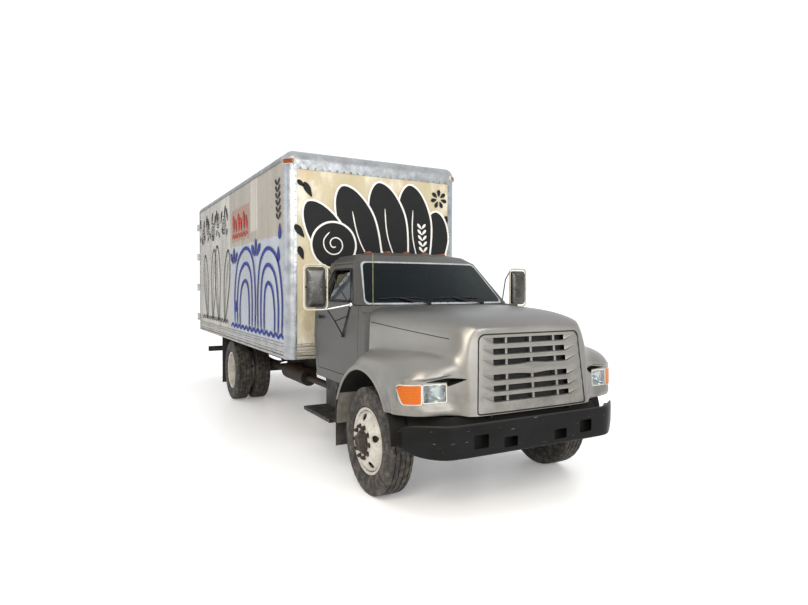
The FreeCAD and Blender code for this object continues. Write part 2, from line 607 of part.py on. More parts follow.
# Leaf springs: curved leaves that shorten downwards, eyes, hangers from the frame and the axle's seat
def leaf_spring(name, y, seat_z, length):
    """One spring of the left side, its pack's underside at seat_z."""
    radius = f"(({length} / 2) ^ 2 + spring_camber ^ 2) / (2 * spring_camber)"
    leaves = []
    for k in range(int(at.leaf_count)):
        half = f"{length} / 2 * (1 - {k} * leaf_step_share)"
        inner = f"({radius} + {k} * leaf_thickness)"
        outer = f"({radius} + {k + 1} * leaf_thickness)"
        high = f"{radius} - sqrt({inner} ^ 2 - ({half}) ^ 2) + leaf_count * leaf_thickness"
        low = f"{radius} - sqrt({outer} ^ 2 - ({half}) ^ 2) + leaf_count * leaf_thickness"
        outline = [(f"-({half})", high), (f"-({half})", low), (half, low, outer), (half, high)]
        outline[0] = outline[0] + (f"-{inner}",)
        leaves.append(profile(f"{name}_leaf_{k}", "YZ_Plane", outline, "spring_width",
                              ("rail_half + spring_offset + spring_width / 2", y, seat_z)))
    eye_z = f"{seat_z} + leaf_count * leaf_thickness + spring_camber"
    seat_height = "spring_seat_height + leaf_thickness / 2"
    seat = block(name + "_seat", ("spring_width", "spring_width", seat_height),
                 ("rail_half + spring_offset", f"{y} - spring_width / 2", f"{seat_z} - spring_seat_height"))
    ends = []
    width = "spring_offset + spring_width"
    for sign in ("-", ""):
        eye_y = f"{y} {sign or '+'} {length} / 2"
        ends.append(rod(name + "_eye", "eye_radius", width, ("rail_half", eye_y, eye_z), "x"))
        ends.append(block(name + "_hanger", (width, "hanger_length", "hanger_height"),
                          ("rail_half", f"{eye_y} - hanger_length / 2", eye_z)))
    return fuse(name, *leaves, seat, *ends)


def leaf_springs():
    front = leaf_spring("front_spring", "front_axle_y", "front_spring_z", "front_spring_length")
    rear = leaf_spring("rear_spring", "rear_axle_y", "rear_spring_z", "rear_spring_length")
    node("leaf_springs", gathered("leaf_springs", front, rear, mirrored("front_spring_right", front),
                                  mirrored("rear_spring_right", rear)))


# Ladder frame: two channel rails, channel crossmembers, the bumper's and the hood's brackets
CROSSMEMBER_SHARES = (0, 0.215, 0.4, 0.54, 0.77, 1)


def chassis_frame():
    half, flange = "rail_half", "rail_half - rail_flange"
    rail = profile("rail_left", "XZ_Plane",
                   [(half, "rail_bottom"), (half, "frame_top"), (flange, "frame_top"),
                    (flange, "frame_top - rail_web"), ("rail_half - rail_web", "frame_top - rail_web"),
                    ("rail_half - rail_web", "rail_bottom + rail_web"), (flange, "rail_bottom + rail_web"),
                    (flange, "rail_bottom")],
                   "frame_rear_y - frame_front_y", (0, "(frame_front_y + frame_rear_y) / 2", 0))
    middle = "frame_top - rail_height / 2"
    top, bottom = f"{middle} + crossmember_height / 2", f"{middle} - crossmember_height / 2"
    first, last = "(front_axle_y - radiator_setback)", "(frame_rear_y - crossmember_flange / 2)"
    members = []
    for k, share in enumerate(CROSSMEMBER_SHARES):
        y = f"{first} + {share} * ({last} - {first})"
        fore, aft = "-crossmember_flange / 2", "crossmember_flange / 2"
        outline = [(fore, bottom), (aft, bottom), (aft, f"{bottom} + crossmember_plate"),
                   (f"{fore} + crossmember_plate", f"{bottom} + crossmember_plate"),
                   (f"{fore} + crossmember_plate", f"{top} - crossmember_plate"),
                   (aft, f"{top} - crossmember_plate"), (aft, top), (fore, top)]
        members.append(profile(f"crossmember_{k}", "YZ_Plane", outline, "2 * (rail_half - rail_web)",
                               (0, y, 0)))
    pivot_y = "front_axle_y - hood_pivot_setback"
    pivot = (half, pivot_y, "hood_pivot_z")
    arm_size = ("bracket_thickness", f"frame_front_y + overrun - ({pivot_y})", "2 * bracket_half_height")
    hood_arm = block("hood_arm", arm_size, (half, pivot_y, "hood_pivot_z - bracket_half_height"))
    hood_arm_end = rod("hood_arm_end", "bracket_half_height", "bracket_thickness", pivot, "x")
    bore = rod("hood_bore", "hood_pin_radius + pin_play", "bracket_thickness", pivot, "x")
    hood_bracket = cut("hood_bracket", fuse("hood_arm_whole", hood_arm, hood_arm_end), bore)
    horn_size = ("bracket_thickness", "frame_front_y + overrun - bumper_y - bumper_plate",
                 "bumper_bottom + bumper_height - bumper_bend_radius - rail_bottom - rail_web")
    horn = block("bumper_horn", horn_size, ("rail_half - rail_web - bracket_thickness",
                                            "bumper_y + bumper_plate", "rail_bottom + rail_web"))
    left = fuse("frame_left", rail, hood_bracket, horn)
    node("chassis_frame", fuse("chassis_frame", left, mirrored("frame_right", left), *members))


# Front bumper: a bent channel whose ends sweep back, with two tow holes and two slots
def front_bumper():
    low, high = at.bumper_bottom, at.bumper_bottom + at.bumper_height
    back = at.bumper_y + at.bumper_return
    front, plate, bend = at.bumper_y, at.bumper_plate, at.bumper_bend_radius
    x = -at.bumper_straight_half
    corners = [Vector(x, y, z) for y, z in ((back, low), (front, low), (front, high), (back, high),
                                            (back, high - plate), (front + plate, high - plate),
                                            (front + plate, low + plate), (back, low + plate))]
    section = rounded_wire(corners, [0, bend, bend, 0, 0, bend - plate, bend - plate, 0])
    middle = drawn_out(section, Vector(2 * at.bumper_straight_half, 0, 0))
    reach = at.bumper_half_width - at.bumper_straight_half
    end = drawn_out(section, Vector(-reach, at.bumper_sweep, 0))
    bar = feature("bumper_bar", middle.fuse([end, end.mirror(Vector(), ACROSS)]).removeSplitter())
    holes = []
    for sign in ("", "-"):
        for name, x, z, height in (("tow_hole", "outer_hole_x", "outer_hole_z", "tow_hole_height"),
                                   ("tow_slot", "inner_hole_x", "inner_hole_z", "tow_slot_height")):
            where = (f"{sign}{x} - tow_hole_width / 2", "bumper_y - bumper_plate / 2", f"{z} - {height} / 2")
            holes.append(block(name, ("tow_hole_width", "2 * bumper_plate", height), where))
    node("front_bumper", cut("front_bumper", bar, *holes))


# Engine, radiator and the drive line behind them
def drive_line():
    engine_back = "front_axle_y - engine_front + engine_length"
    node("engine_block", block("engine_block", ("engine_width", "engine_length", "engine_height"),
                               ("-engine_width / 2", "front_axle_y - engine_front", "engine_bottom")))
    node("radiator", block("radiator", ("radiator_width", "radiator_depth", "radiator_height"),
                           ("-radiator_width / 2", "front_axle_y - radiator_setback - radiator_depth / 2",
                            "radiator_bottom")))
    case = taper("gearbox", "gearbox_radius", "gearbox_tail_radius", "gearbox_length",
                 (0, engine_back, "gearbox_z"), "y")
    tail = f"({engine_back} + gearbox_length)"
    nose = "(rear_axle_y - pinion_reach)"
    length = math.hypot(number_of(f"{nose} - {tail}"), at.gearbox_z - at.axle_z)
    reach = f"sqrt(({nose} - {tail}) ^ 2 + (gearbox_z - axle_z) ^ 2)"
    shaft = rod("drive_shaft", "shaft_radius", f"{reach} - shaft_end_gap", (0, tail, "gearbox_z"))
    dip = math.degrees(math.asin((at.gearbox_z - at.axle_z) / length))
    shaft.Placement.Rotation = Rotation(ACROSS, -90 - dip)
    node("driveline", fuse("driveline", case, shaft))


# Exhaust: a lead pipe, the muffler and a tail pipe, carried below the right rail
MUFFLER_HANGER_SHARES = (0.15, 0.85)


def exhaust():
    x, z, y = "-muffler_x", "muffler_z", "front_axle_y + muffler_y"
    body = rod("muffler", "muffler_radius", "muffler_length", (x, y, z), "y")
    lead = rod("lead_pipe", "exhaust_radius", "exhaust_lead", (x, f"{y} - exhaust_lead", z), "y")
    tail = rod("tail_pipe", "exhaust_radius", "tail_pipe_length", (x, f"{y} + muffler_length", z), "y")
    straps = []
    for share in MUFFLER_HANGER_SHARES:
        start = f"{y} + {share} * muffler_length - strap_width / 2"
        straps.append(block("muffler_hanger", ("muffler_x - rail_half", "strap_width", "muffler_radius / 2"),
                            (x, start, "muffler_z + muffler_radius / 2")))
    node("exhaust", fuse("exhaust", body, lead, tail, *straps))


# Fuel tank with its straps on the left rail, battery box ahead of it
TANK_STRAP_SHARES = (0.2, 0.8)


def fuel_tank():
    x, y, z = "rail_half + tank_gap + tank_radius", "front_axle_y + tank_y", "tank_z"
    barrel = rod("tank_barrel", "tank_radius", "tank_length", (x, y, z), "y")
    parts = [barrel]
    for share in TANK_STRAP_SHARES:
        start = f"{y} + {share} * tank_length - strap_width / 2"
        parts.append(rod("tank_strap", "tank_radius + strap_thickness", "strap_width", (x, start, z), "y"))
        parts.append(block("tank_shelf", ("tank_gap + tank_radius / 2", "strap_width", "2 * strap_width"),
                           ("rail_half", start, "tank_z + strap_width")))
    node("fuel_tank", fuse("fuel_tank", *parts))


def battery_box():
    low = "rail_bottom + rail_height / 2 - battery_height"
    node("battery_box", block("battery_box", ("battery_depth", "battery_length", "battery_height"),
                              ("rail_half", "front_axle_y + battery_y", low)))


# Steps under the doors: a plate on brackets, with a dark skirt panel up to the cab's floor
STEP_ARM_SHARES = (0, 1)


def cab_steps():
    y, floor = "front_axle_y + step_front_y", "cab_floor_z"
    plate = block("step_plate", ("step_width", "step_length", "step_thickness"),
                  ("step_half - step_width", y, "step_z - step_thickness"))
    skirt = block("step_skirt", ("skirt_thickness", "step_length", f"{floor} - step_z + step_thickness"),
                  ("step_half - step_width - skirt_thickness", y, "step_z - step_thickness"))
    pieces = [plate, skirt]
    arm_length = "step_half - step_width - skirt_thickness - rail_half"
    for share in STEP_ARM_SHARES:
        start = f"{y} + {share} * (step_length - bracket_width)"
        pieces.append(block("step_arm", (arm_length, "bracket_width", "step_thickness"),
                            ("rail_half", start, "rail_bottom")))
    left = fuse("steps_left", *pieces)
    node("cab_steps", gathered("cab_steps", left, mirrored("steps_right", left)))


# Mud flaps: short ones behind the front wheels, wide ones behind the dual wheels
def mudflaps():
    front_place = ("front_wheel_x - front_flap_width / 2", "front_axle_y + front_flap_y", "front_flap_bottom")
    front = block("front_flap", ("front_flap_width", "flap_thickness", "cab_floor_z - front_flap_bottom"),
                  front_place)
    rear_place = ("inner_dual_x - tyre_width / 2", "rear_axle_y + rear_flap_setback", "rear_flap_bottom")
    rear = block("rear_flap", ("outer_dual_x - inner_dual_x + tyre_width", "flap_thickness",
                               "body_bottom - rear_flap_bottom"), rear_place)
    node("mudflaps", gathered("mudflaps", front, rear, mirrored("front_flap_right", front),
                              mirrored("rear_flap_right", rear)))


leaf_springs()
chassis_frame()
front_bumper()
drive_line()
exhaust()
fuel_tank()
battery_box()
cab_steps()
mudflaps()


# Hood: fenders, top and nose in one shell. Each section runs from the crown out to the fender's lower
# edge, as shares of the fender's half width and of the hood's height over the flare's bottom.
HOOD_SECTION_SHARES = (
    (-.835, ((0, .858), (.41, .838), (.492, .73), (.541, .5), (.66, .425), (.8, .405), (.868, .31), (.88, 0))),
    (-.77, ((0, .888), (.41, .87), (.508, .745), (.557, .58), (.68, .535), (.83, .51), (.914, .42), (.925, 0))),
    (-.55, ((0, .945), (.443, .925), (.541, .745), (.623, .6), (.8, .54), (.935, .455), (.986, .35), (1, 0))),
    (0, ((0, .978), (.492, .958), (.64, .84), (.74, .69), (.87, .56), (.962, .445), (.994, .335), (1, 0))),
    (.21, ((0, .992), (.56, .966), (.725, .87), (.797, .76), (.84, .59), (.95, .44), (.99, .33), (1, 0))),
    (.45, ((0, 1), (.607, .974), (.76, .885), (.81, .77), (.83, .59), (.935, .42), (.985, .31), (1, 0))),
    (.64, ((0, 1), (.607, .974), (.76, .885), (.81, .77), (.83, .59), (.935, .42), (.985, .31), (1, 0))),
)
# Nose sections: depth behind the front face, width and height, as shares of the nose's own
NOSE_SECTION_SHARES = ((0, .905, .915), (.1, .97, .965), (.35, 1, .995), (1, 1.02, 1.03))


def inward(points, inset):
    """The points of an open outline moved to its right-hand side by the inset."""
    moved = []
    for i, point in enumerate(points):
        run = points[min(i + 1, len(points) - 1)] - points[max(i - 1, 0)]
        moved.append(point + Vector(-run.z, 0, run.x).normalize() * -inset)
    return moved


def hood_form(inset):
    """The solid that the hood's skin wraps, shrunk by the inset; the shrunk one is open below and behind."""
    low = at.flare_bottom - (at.overrun if inset else 0)
    wires = []
    for k, (y_share, outline) in enumerate(HOOD_SECTION_SHARES):
        y = y_share * at.hood_length
        if inset:
            y += inset if k == 0 else at.overrun if k == len(HOOD_SECTION_SHARES) - 1 else 0
        half = [Vector(x * at.fender_half_width, at.front_axle_y + y, at.flare_bottom + z * at.hood_height)
                for x, z in outline]
        half = inward([Vector(-half[1].x, half[1].y, half[1].z)] + half, inset)[1:] if inset else half
        half[0].x = 0
        half[-1].z = low
        whole = [Vector(-p.x, p.y, p.z) for p in reversed(half[1:])] + half
        skin = Part.BSplineCurve()
        skin.interpolate(whole)
        wires.append(Part.Wire([skin.toShape(), Part.LineSegment(whole[-1], whole[0]).toShape()]))
    return Part.makeLoft(wires, True, True)


def nose_form(inset):
    """The nose's solid, leaning back, its corners rounded and its front edge rolled."""
    wires = []
    for depth, width, height in NOSE_SECTION_SHARES:
        top = at.nose_bottom + at.nose_height * height - inset
        low = at.nose_bottom - (at.overrun if inset else 0)
        half_low, half_top = at.nose_half * width - inset, at.nose_half_top * width - inset
        y_low = at.front_axle_y - at.nose_front + depth * at.nose_depth + (inset if depth < 1 else -inset)

        def spot(x, z):
            return Vector(x, y_low + at.nose_lean * (z - at.nose_bottom) / at.nose_height, z)
        corners = [spot(-half_low, low), spot(half_low, low), spot(half_top, top), spot(-half_top, top)]
        wires.append(rounded_wire(corners, [0, 0, at.nose_corner - inset, at.nose_corner - inset]))
    return Part.makeLoft(wires, True, False)


def arch_cylinder(radius, x_start, x_length):
    centre = Vector(x_start, at.front_axle_y - at.arch_setback, at.arch_centre_z)
    return Part.makeCylinder(radius, x_length, centre, ACROSS)


def seam_points(gap):
    """The hood's rear edge seen from the side, moved back and down by a gap."""
    return [(at.seam_y + gap, at.seam_high_z - gap), (at.seam_step_y + gap, at.seam_shoulder_z - gap),
            (at.seam_top_y + gap, at.flare_bottom + at.hood_height + at.overrun)]


def grille_wire(grow, y):
    low, high = at.grille_bottom - grow, at.grille_bottom + at.grille_height + grow
    half_low, half_top = at.grille_half_bottom + grow, at.grille_half_top + grow
    return front_wire([(-half_low, low), (half_low, low), (half_top, high), (-half_top, high)],
                      at.grille_corner + grow, y)


def lamp_region(name, grow):
    """The space of one left lamp of the front, grown by a play."""
    inner = at.headlamp_inner_x
    if name == "turn":
        inner += at.headlamp_width + at.lamp_gap
    wide = at.headlamp_width if name == "head" else at.fender_half_width - inner
    deep = at.lamp_depth if name == "head" else at.turn_lamp_length
    front = at.front_axle_y + HOOD_SECTION_SHARES[0][0] * at.hood_length
    return box_shape((inner - grow, inner + wide + grow), (front - at.overrun, front + deep + grow),
                     (at.lamp_bottom - grow, at.lamp_bottom + at.lamp_height + grow))


def hood():
    outer = hood_form(0).fuse(nose_form(0))
    inner = hood_form(at.hood_wall).fuse(nose_form(at.hood_wall))
    shell = outer.cut(inner)
    front, far = at.front_axle_y, at.hood_length
    half, wide = at.fender_half_width + at.overrun, 2 * (at.fender_half_width + at.overrun)
    rear = side_wire(seam_points(0) + [(far, at.flare_bottom + at.hood_height + at.overrun),
                                       (far, at.flare_bottom - 2 * at.overrun),
                                       (at.seam_y, at.flare_bottom - 2 * at.overrun)], 0, -half)
    flare = at.arch_radius + at.flare_width
    behind = drawn_out(rear, Vector(wide, 0, 0)).cut(arch_cylinder(flare, -half, wide))
    low, middle = at.flare_bottom - 2 * at.overrun, front - at.arch_setback
    cheek_front = front - at.fender_front_setback + at.hood_wall / 2
    chin = box_shape((-half, half), (front - at.front_overhang, middle), (low, at.nose_bottom))
    cheeks = box_shape((-half, half), (cheek_front, middle), (low, at.fender_bottom))
    shell = shell.cut([behind, chin, cheeks, arch_cylinder(at.arch_radius, -half, wide)])
    ring = arch_cylinder(flare, at.cab_half + at.hood_gap,
                         at.fender_half_width - at.hood_wall / 2 - at.cab_half - at.hood_gap)
    ring = ring.cut(arch_cylinder(flare - at.hood_wall, 0, 2 * half))
    ring = ring.common(box_shape((0, half), (front + at.seam_y - at.hood_wall, front + far),
                                 (at.flare_bottom, at.seam_low_z + at.overrun)))
    ring = ring.common(outer)
    openings = [drawn_out(grille_wire(at.touch_gap, front - at.front_overhang), Vector(0, at.nose_depth, 0))]
    for name in ("head", "turn"):
        region = lamp_region(name, at.touch_gap)
        openings += [region, region.mirror(Vector(), ACROSS)]
    shell = shell.cut(openings)
    pivot_y, radius = front - at.hood_pivot_setback, at.hood_pin_radius
    pin_half = at.nose_half - at.hood_ear_width
    pin = Part.makeCylinder(radius, 2 * pin_half, Vector(-pin_half, pivot_y, at.hood_pivot_z), ACROSS)
    ear = box_shape((pin_half - at.hood_wall, at.nose_half - at.hood_wall / 2),
                    (pivot_y - radius, pivot_y + 2 * radius),
                    (at.hood_pivot_z - radius, at.grille_bottom + at.overrun))
    shell = shell.fuse([ring, ring.mirror(Vector(), ACROSS), pin, ear, ear.mirror(Vector(), ACROSS)])
    return node("hood", feature("hood", shell.removeSplitter()))


# Grille: a plate that follows the nose, with six rows of slots parted by three uprights
def grille():
    plate = nose_form(at.grille_recess).cut(nose_form(at.grille_recess + at.grille_depth))
    y = at.front_axle_y - at.front_overhang
    plate = plate.common(drawn_out(grille_wire(0, y), Vector(0, at.nose_depth / 2, 0)))
    slots = []
    for row in range(int(at.slot_rows)):
        z = at.slot_first_z + row * at.slot_pitch + (at.centre_bar_height if row >= at.slot_rows / 2 else 0)
        edges = [-at.slot_half_width] + [k * at.divider_pitch for k in (-1, 0, 1)] + [at.slot_half_width]
        for left, right in zip(edges, edges[1:]):
            ends = [left + (0 if left == edges[0] else at.divider_width / 2),
                    right - (0 if right == edges[-1] else at.divider_width / 2)]
            skew = [at.slot_skew if left == edges[0] else 0, at.slot_skew if right == edges[-1] else 0]
            low, high = z - at.slot_height / 2, z + at.slot_height / 2
            outline = [(ends[0] - skew[0], low), (ends[1] + skew[1], low), (ends[1], high), (ends[0], high)]
            slots.append(drawn_out(front_wire(outline, at.slot_round, y), Vector(0, at.nose_depth, 0)))
    return node("grille", feature("grille", plate.cut(slots)))


def front_lamps():
    for name, label in (("head", "headlamps"), ("turn", "turn_signals")):
        skin = hood_form(at.lamp_recess).cut(hood_form(at.lamp_recess + at.lamp_thickness))
        left = skin.common(lamp_region(name, 0))
        node(label, feature(label, Part.makeCompound([left, left.mirror(Vector(), ACROSS)])))


hood()
grille()
front_lamps()


# Cab: a hollow shell whose doors, screen and windows are cut where the real panels meet
def cab_section(z, half, front, rear, bow, inset, corner):
    """A level section of the cab: a bowed front, straight sides and back, round corners."""
    half, front, rear = half - inset, at.front_axle_y + front + inset, at.front_axle_y + rear - inset
    corner = corner - inset / 2
    small = corner / 2
    turn = 1 - math.sqrt(1 / 2)
    spots = [Vector(-half + corner, front, z), Vector(0, front - bow, z), Vector(half - corner, front, z),
             Vector(half - corner * turn, front + corner * turn, z), Vector(half, front + corner, z),
             Vector(half, rear - small, z), Vector(half - small * turn, rear - small * turn, z),
             Vector(half - small, rear, z)]
    edges = [Part.Arc(*spots[:3]).toShape(), Part.Arc(*spots[2:5]).toShape(),
             Part.LineSegment(spots[4], spots[5]).toShape(), Part.Arc(*spots[5:8]).toShape()]
    left = [Vector(-p.x, p.y, p.z) for p in spots]
    edges += [Part.LineSegment(spots[7], left[7]).toShape(), Part.Arc(left[7], left[6], left[5]).toShape(),
              Part.LineSegment(left[5], left[4]).toShape(), Part.Arc(left[4], left[3], left[2]).toShape()]
    return Part.Wire(edges)


def greenhouse(inset):
    rear = at.cab_back_reach
    foot = (at.greenhouse_half, at.screen_foot_y, rear - at.greenhouse_rear_inset, at.screen_bow, inset,
            at.greenhouse_corner)
    sections = [cab_section(at.belt_z - inset - at.overrun, *foot), cab_section(at.belt_z - inset, *foot),
                cab_section(at.roof_edge_z - inset, at.roof_edge_half, at.roof_edge_y,
                            rear - at.roof_edge_rear_inset, at.screen_bow, inset, at.greenhouse_corner),
                cab_section(at.roof_shoulder_z - inset, at.roof_shoulder_half, at.roof_shoulder_y,
                            rear - at.roof_shoulder_rear_inset, at.screen_bow, inset, at.greenhouse_corner),
                cab_section(at.roof_crown_z - inset, at.roof_crown_half, at.roof_crown_y,
                            rear - at.roof_crown_rear_inset, at.screen_bow, inset, at.greenhouse_corner)]
    return Part.makeLoft(sections, True, True)


def cab_form(inset):
    """The cab's solid, shrunk by the inset, clear of the hood's rear edge by the hood's gap."""
    plan = (at.cowl_y, at.cab_back_reach, at.cowl_bow, inset, at.cab_corner)
    bottom = at.cab_floor_top if inset else at.cab_floor_z
    body = Part.makeLoft([cab_section(bottom, at.cab_half_bottom, *plan),
                          cab_section(at.cab_waist_z, at.cab_half, *plan),
                          cab_section(at.belt_z - inset, at.belt_half, *plan)], True, True)
    half = at.fender_half_width
    gap = at.hood_gap + inset
    under_hood = side_wire(seam_points(gap) + [(0, at.roof_crown_z), (0, at.seam_high_z - gap)], 0, -half)
    ring = arch_cylinder(at.arch_radius + at.flare_width + gap, -half, 2 * half)
    return body.fuse(greenhouse(inset)).cut([drawn_out(under_hood, Vector(2 * half, 0, 0)), ring])


def door_prism(shrink):
    """The space of the left door, its edges drawn in by the shrink."""
    wire = side_wire([(at.door_front_y, at.door_bottom_z), (at.door_rear_y, at.door_bottom_z),
                      (at.door_rear_y, at.belt_z), (at.door_head_rear_y, at.door_top_z),
                      (at.door_head_y, at.door_top_z), (at.pillar_foot_y, at.pillar_foot_z),
                      (at.door_front_y, at.belt_z)],
                     [at.door_corner] * 4 + [at.window_corner, 0, at.window_corner],
                     at.roof_edge_half - at.cab_wall - at.door_gap)
    if shrink:
        wire = wire.makeOffset2D(-shrink)
    return drawn_out(wire, Vector(at.cab_half, 0, 0))


def window_prism(shrink):
    wire = side_wire([(at.window_front_y, at.window_sill_z), (at.window_rear_y, at.window_sill_z),
                      (at.window_head_rear_y, at.window_head_z), (at.window_head_y, at.window_head_z)],
                     at.window_corner, at.roof_edge_half - 2 * at.cab_wall)
    if shrink:
        wire = wire.makeOffset2D(-shrink)
    return drawn_out(wire, Vector(at.cab_half, 0, 0))


def screen_prism(shrink):
    low, high = at.screen_foot_z, at.screen_head_z
    wire = front_wire([(-at.screen_half_bottom, low), (at.screen_half_bottom, low),
                       (at.screen_half_top, high), (-at.screen_half_top, high)],
                      at.screen_corner, at.front_axle_y + at.cowl_y)
    if shrink:
        wire = wire.makeOffset2D(-shrink)
    return drawn_out(wire, Vector(0, at.roof_edge_y + 2 * at.cab_wall - at.cowl_y, 0))


def back_window_prism(shrink):
    low, high, half = at.back_window_bottom, at.back_window_top, at.back_window_half
    wire = front_wire([(-half, low), (half, low), (half, high), (-half, high)], at.screen_corner,
                      at.cab_back_y + at.overrun)
    if shrink:
        wire = wire.makeOffset2D(-shrink)
    return drawn_out(wire, Vector(0, -2 * at.overrun - at.cab_wall - at.roof_edge_rear_inset, 0))


def cab():
    outer, inner = cab_form(0), cab_form(at.cab_wall)
    tunnel = box_shape((-at.cab_sill_inner, at.cab_sill_inner), (at.front_axle_y, at.cab_back_y + at.overrun),
                       (0, at.frame_top + at.touch_gap))
    wall = outer.cut([inner, tunnel])
    door_space = door_prism(0)
    shell = wall.cut([door_space, door_space.mirror(Vector(), ACROSS), screen_prism(0),
                      back_window_prism(0)])
    node("cab_shell", feature("cab_shell", shell))
    pane = cab_form(at.glass_inset).cut(cab_form(at.glass_inset + at.glass_thickness))
    screens = [pane.common(screen_prism(at.touch_gap)), pane.common(back_window_prism(at.touch_gap))]
    node("cab_glass", feature("cab_glass", Part.makeCompound(screens)))
    door = wall.common(door_prism(at.door_gap)).cut(window_prism(0))
    handle_y = at.front_axle_y + at.handle_y
    handle = box_shape((at.cab_half - at.cab_wall / 2, at.cab_half + at.handle_depth),
                       (handle_y - at.handle_length / 2, handle_y + at.handle_length / 2),
                       (at.handle_z - at.handle_height / 2, at.handle_z + at.handle_height / 2))
    door = door.fuse(handle)
    glass = pane.common(window_prism(at.touch_gap))
    for side, flip in (("left", False), ("right", True)):
        for name, shape in (("door", door), ("door_glass", glass)):
            shape = shape.mirror(Vector(), ACROSS) if flip else shape
            node(f"{name}_{side}", feature(f"{name}_{side}", shape))
    return outer


# Dashboard: one padded slab under the screen, its lower front cut back for the cowl
DASH_SHARES = ((0, 0), (0.9, 0), (1, 0.35), (0.92, 0.86), (0.72, 1), (0.58, 0.97), (0.5, 0.79), (0, 0.4))


def dashboard():
    depth, height = "dash_depth", "dash_height"
    y, z = "(front_axle_y + cowl_y + cab_wall + touch_gap)", "(dash_top_z - dash_height)"
    outline = [(f"{y} + {back} * {depth}", f"{z} + {up} * {height}") for back, up in DASH_SHARES]
    slab = profile("dash_slab", "YZ_Plane", outline, "2 * dash_half")
    clear = rod("column_clear", "column_radius + touch_gap", "2 * column_length",
                ("steering_x", "front_axle_y + steering_y", "steering_z"))
    clear.Placement.Rotation = Rotation(ACROSS, 180 - at.steering_tilt)
    node("dashboard", cut("dashboard", slab, clear))


# Steering wheel: a rim on three spokes and its column, which ends inside the dashboard
SPOKE_TURNS = (90, 210, 330)


def steering_wheel():
    where = ("steering_x", "front_axle_y + steering_y", "steering_z")
    rim = set_at(doc.addObject("Part::Torus", "steering_rim"), where)
    rim.setExpression("Radius1", bind("steering_wheel_radius"))
    rim.setExpression("Radius2", bind("steering_rim_radius"))
    lean = Rotation(ACROSS, 180 - at.steering_tilt)
    rim.Placement.Rotation = lean
    column = rod("steering_column", "column_radius", "column_length", where)
    column.Placement.Rotation = lean
    spokes = []
    for turn in SPOKE_TURNS:
        spoke = rod("spoke", "spoke_radius", "steering_wheel_radius", where)
        spoke.Placement.Rotation = lean * Rotation(UP, turn) * Rotation(ALONG, 90)
        spokes.append(spoke)
    node("steering_wheel", fuse("steering_wheel", rim, column, *spokes))


# Seats: a cushion and a leaning back on a pedestal for each side
def seats():
    y = "front_axle_y + seat_y"
    floor = "cab_floor_top"
    cushion = block("seat_cushion", ("seat_width", "seat_depth", "seat_thickness"),
                    ("seat_x - seat_width / 2", f"{y} - seat_depth / 2", "seat_z"))
    back = block("seat_back", ("seat_width", "seat_back_thickness", "seat_back_height"),
                 ("seat_x - seat_width / 2", f"{y} + seat_depth / 2 + touch_gap", "seat_z"))
    base_height = f"seat_z - touch_gap - ({floor})"
    base = block("seat_base", ("2 * seat_base_half", "2 * seat_base_half", base_height),
                 ("seat_x - seat_base_half", f"{y} - seat_base_half", floor))
    node("seats", gathered("seats", cushion, back, mirrored("cushion_right", cushion),
                           mirrored("back_right", back)))
    node("seat_bases", gathered("seat_bases", base, mirrored("base_right", base)))


def tube(start, end, radius):
    way = end - start
    return Part.makeCylinder(radius, way.Length, start, way)


# Mirrors: a deep housing in a bent tube loop, held off the door by four arms
def mirrors(outer):
    radius, x, y, z = at.mirror_tube_radius, at.mirror_x, at.front_axle_y + at.mirror_y, at.mirror_z
    half_w, half_h, half_d = at.mirror_width / 2, at.mirror_height / 2, at.mirror_depth / 2
    housing = box_shape((x - half_w, x + half_w), (y - half_d, y + half_d), (z - half_h, z + half_h))
    upright = [e for e in housing.Edges if abs(e.tangentAt(0).y) > 1 / 2]
    housing = housing.makeFillet(at.mirror_corner, upright)
    loop_half = half_w + at.mirror_loop_margin
    loop_high = half_h + at.mirror_loop_margin
    corners = [Vector(x + across * loop_half, y, z + up * loop_high)
               for across, up in ((-1, -1), (1, -1), (1, 1), (-1, 1))]
    pieces = [housing]
    for start, end in zip(corners, corners[1:] + corners[:1]):
        pieces += [tube(start, end, radius), Part.makeSphere(radius, start)]
    for side in (-1, 1):
        near, far = z + side * (half_h - radius), z + side * loop_high
        pieces.append(tube(Vector(x, y, near), Vector(x, y, far), radius))
    inside = at.cab_half - at.cab_wall * 3 / 2
    foot_y = at.front_axle_y + at.mirror_foot_y
    for foot_z in (at.mirror_top_foot_z, at.mirror_low_foot_z):
        for spread in (-1, 1):
            foot = Vector(inside, foot_y + spread * at.mirror_foot_spread, foot_z)
            pieces.append(tube(corners[0], foot, radius))
    left = pieces[0].fuse(pieces[1:]).cut(outer)
    keep = max(left.Solids, key=lambda s: s.Volume)
    node("mirror_left", feature("mirror_left", keep))
    node("mirror_right", feature("mirror_right", keep.mirror(Vector(), ACROSS)))


cab_outside = cab()
dashboard()
steering_wheel()
seats()
mirrors(cab_outside)


# Van body: every panel is a piece of one round-cornered box's skin
def van_form(inset):
    """The van body's box, shrunk by the inset; the shrunk one is open below and behind."""
    slack = at.overrun if inset else 0
    box = box_shape((inset - at.body_half, at.body_half - inset),
                    (at.body_front_y + inset, at.body_rear_y + slack),
                    (at.body_bottom - slack, at.body_top - inset))
    round_edges = []
    for edge in box.Edges:
        middle, way = edge.CenterOfMass, edge.tangentAt(0)
        at_front = middle.y < at.body_front_y + at.corner_radius
        if abs(way.z) > 1 / 2 and at_front or middle.z > at.body_top - at.corner_radius and \
                (abs(way.y) > 1 / 2 or abs(way.x) > 1 / 2 and at_front):
            round_edges.append(edge)
    return box.makeFillet(at.corner_radius - inset, round_edges)


def van_region(x, y, z):
    """A box of space, y counted from the body's front and z from its bottom."""
    return box_shape(x, (at.body_front_y + y[0], at.body_front_y + y[1]),
                     (at.body_bottom + z[0], at.body_bottom + z[1]))


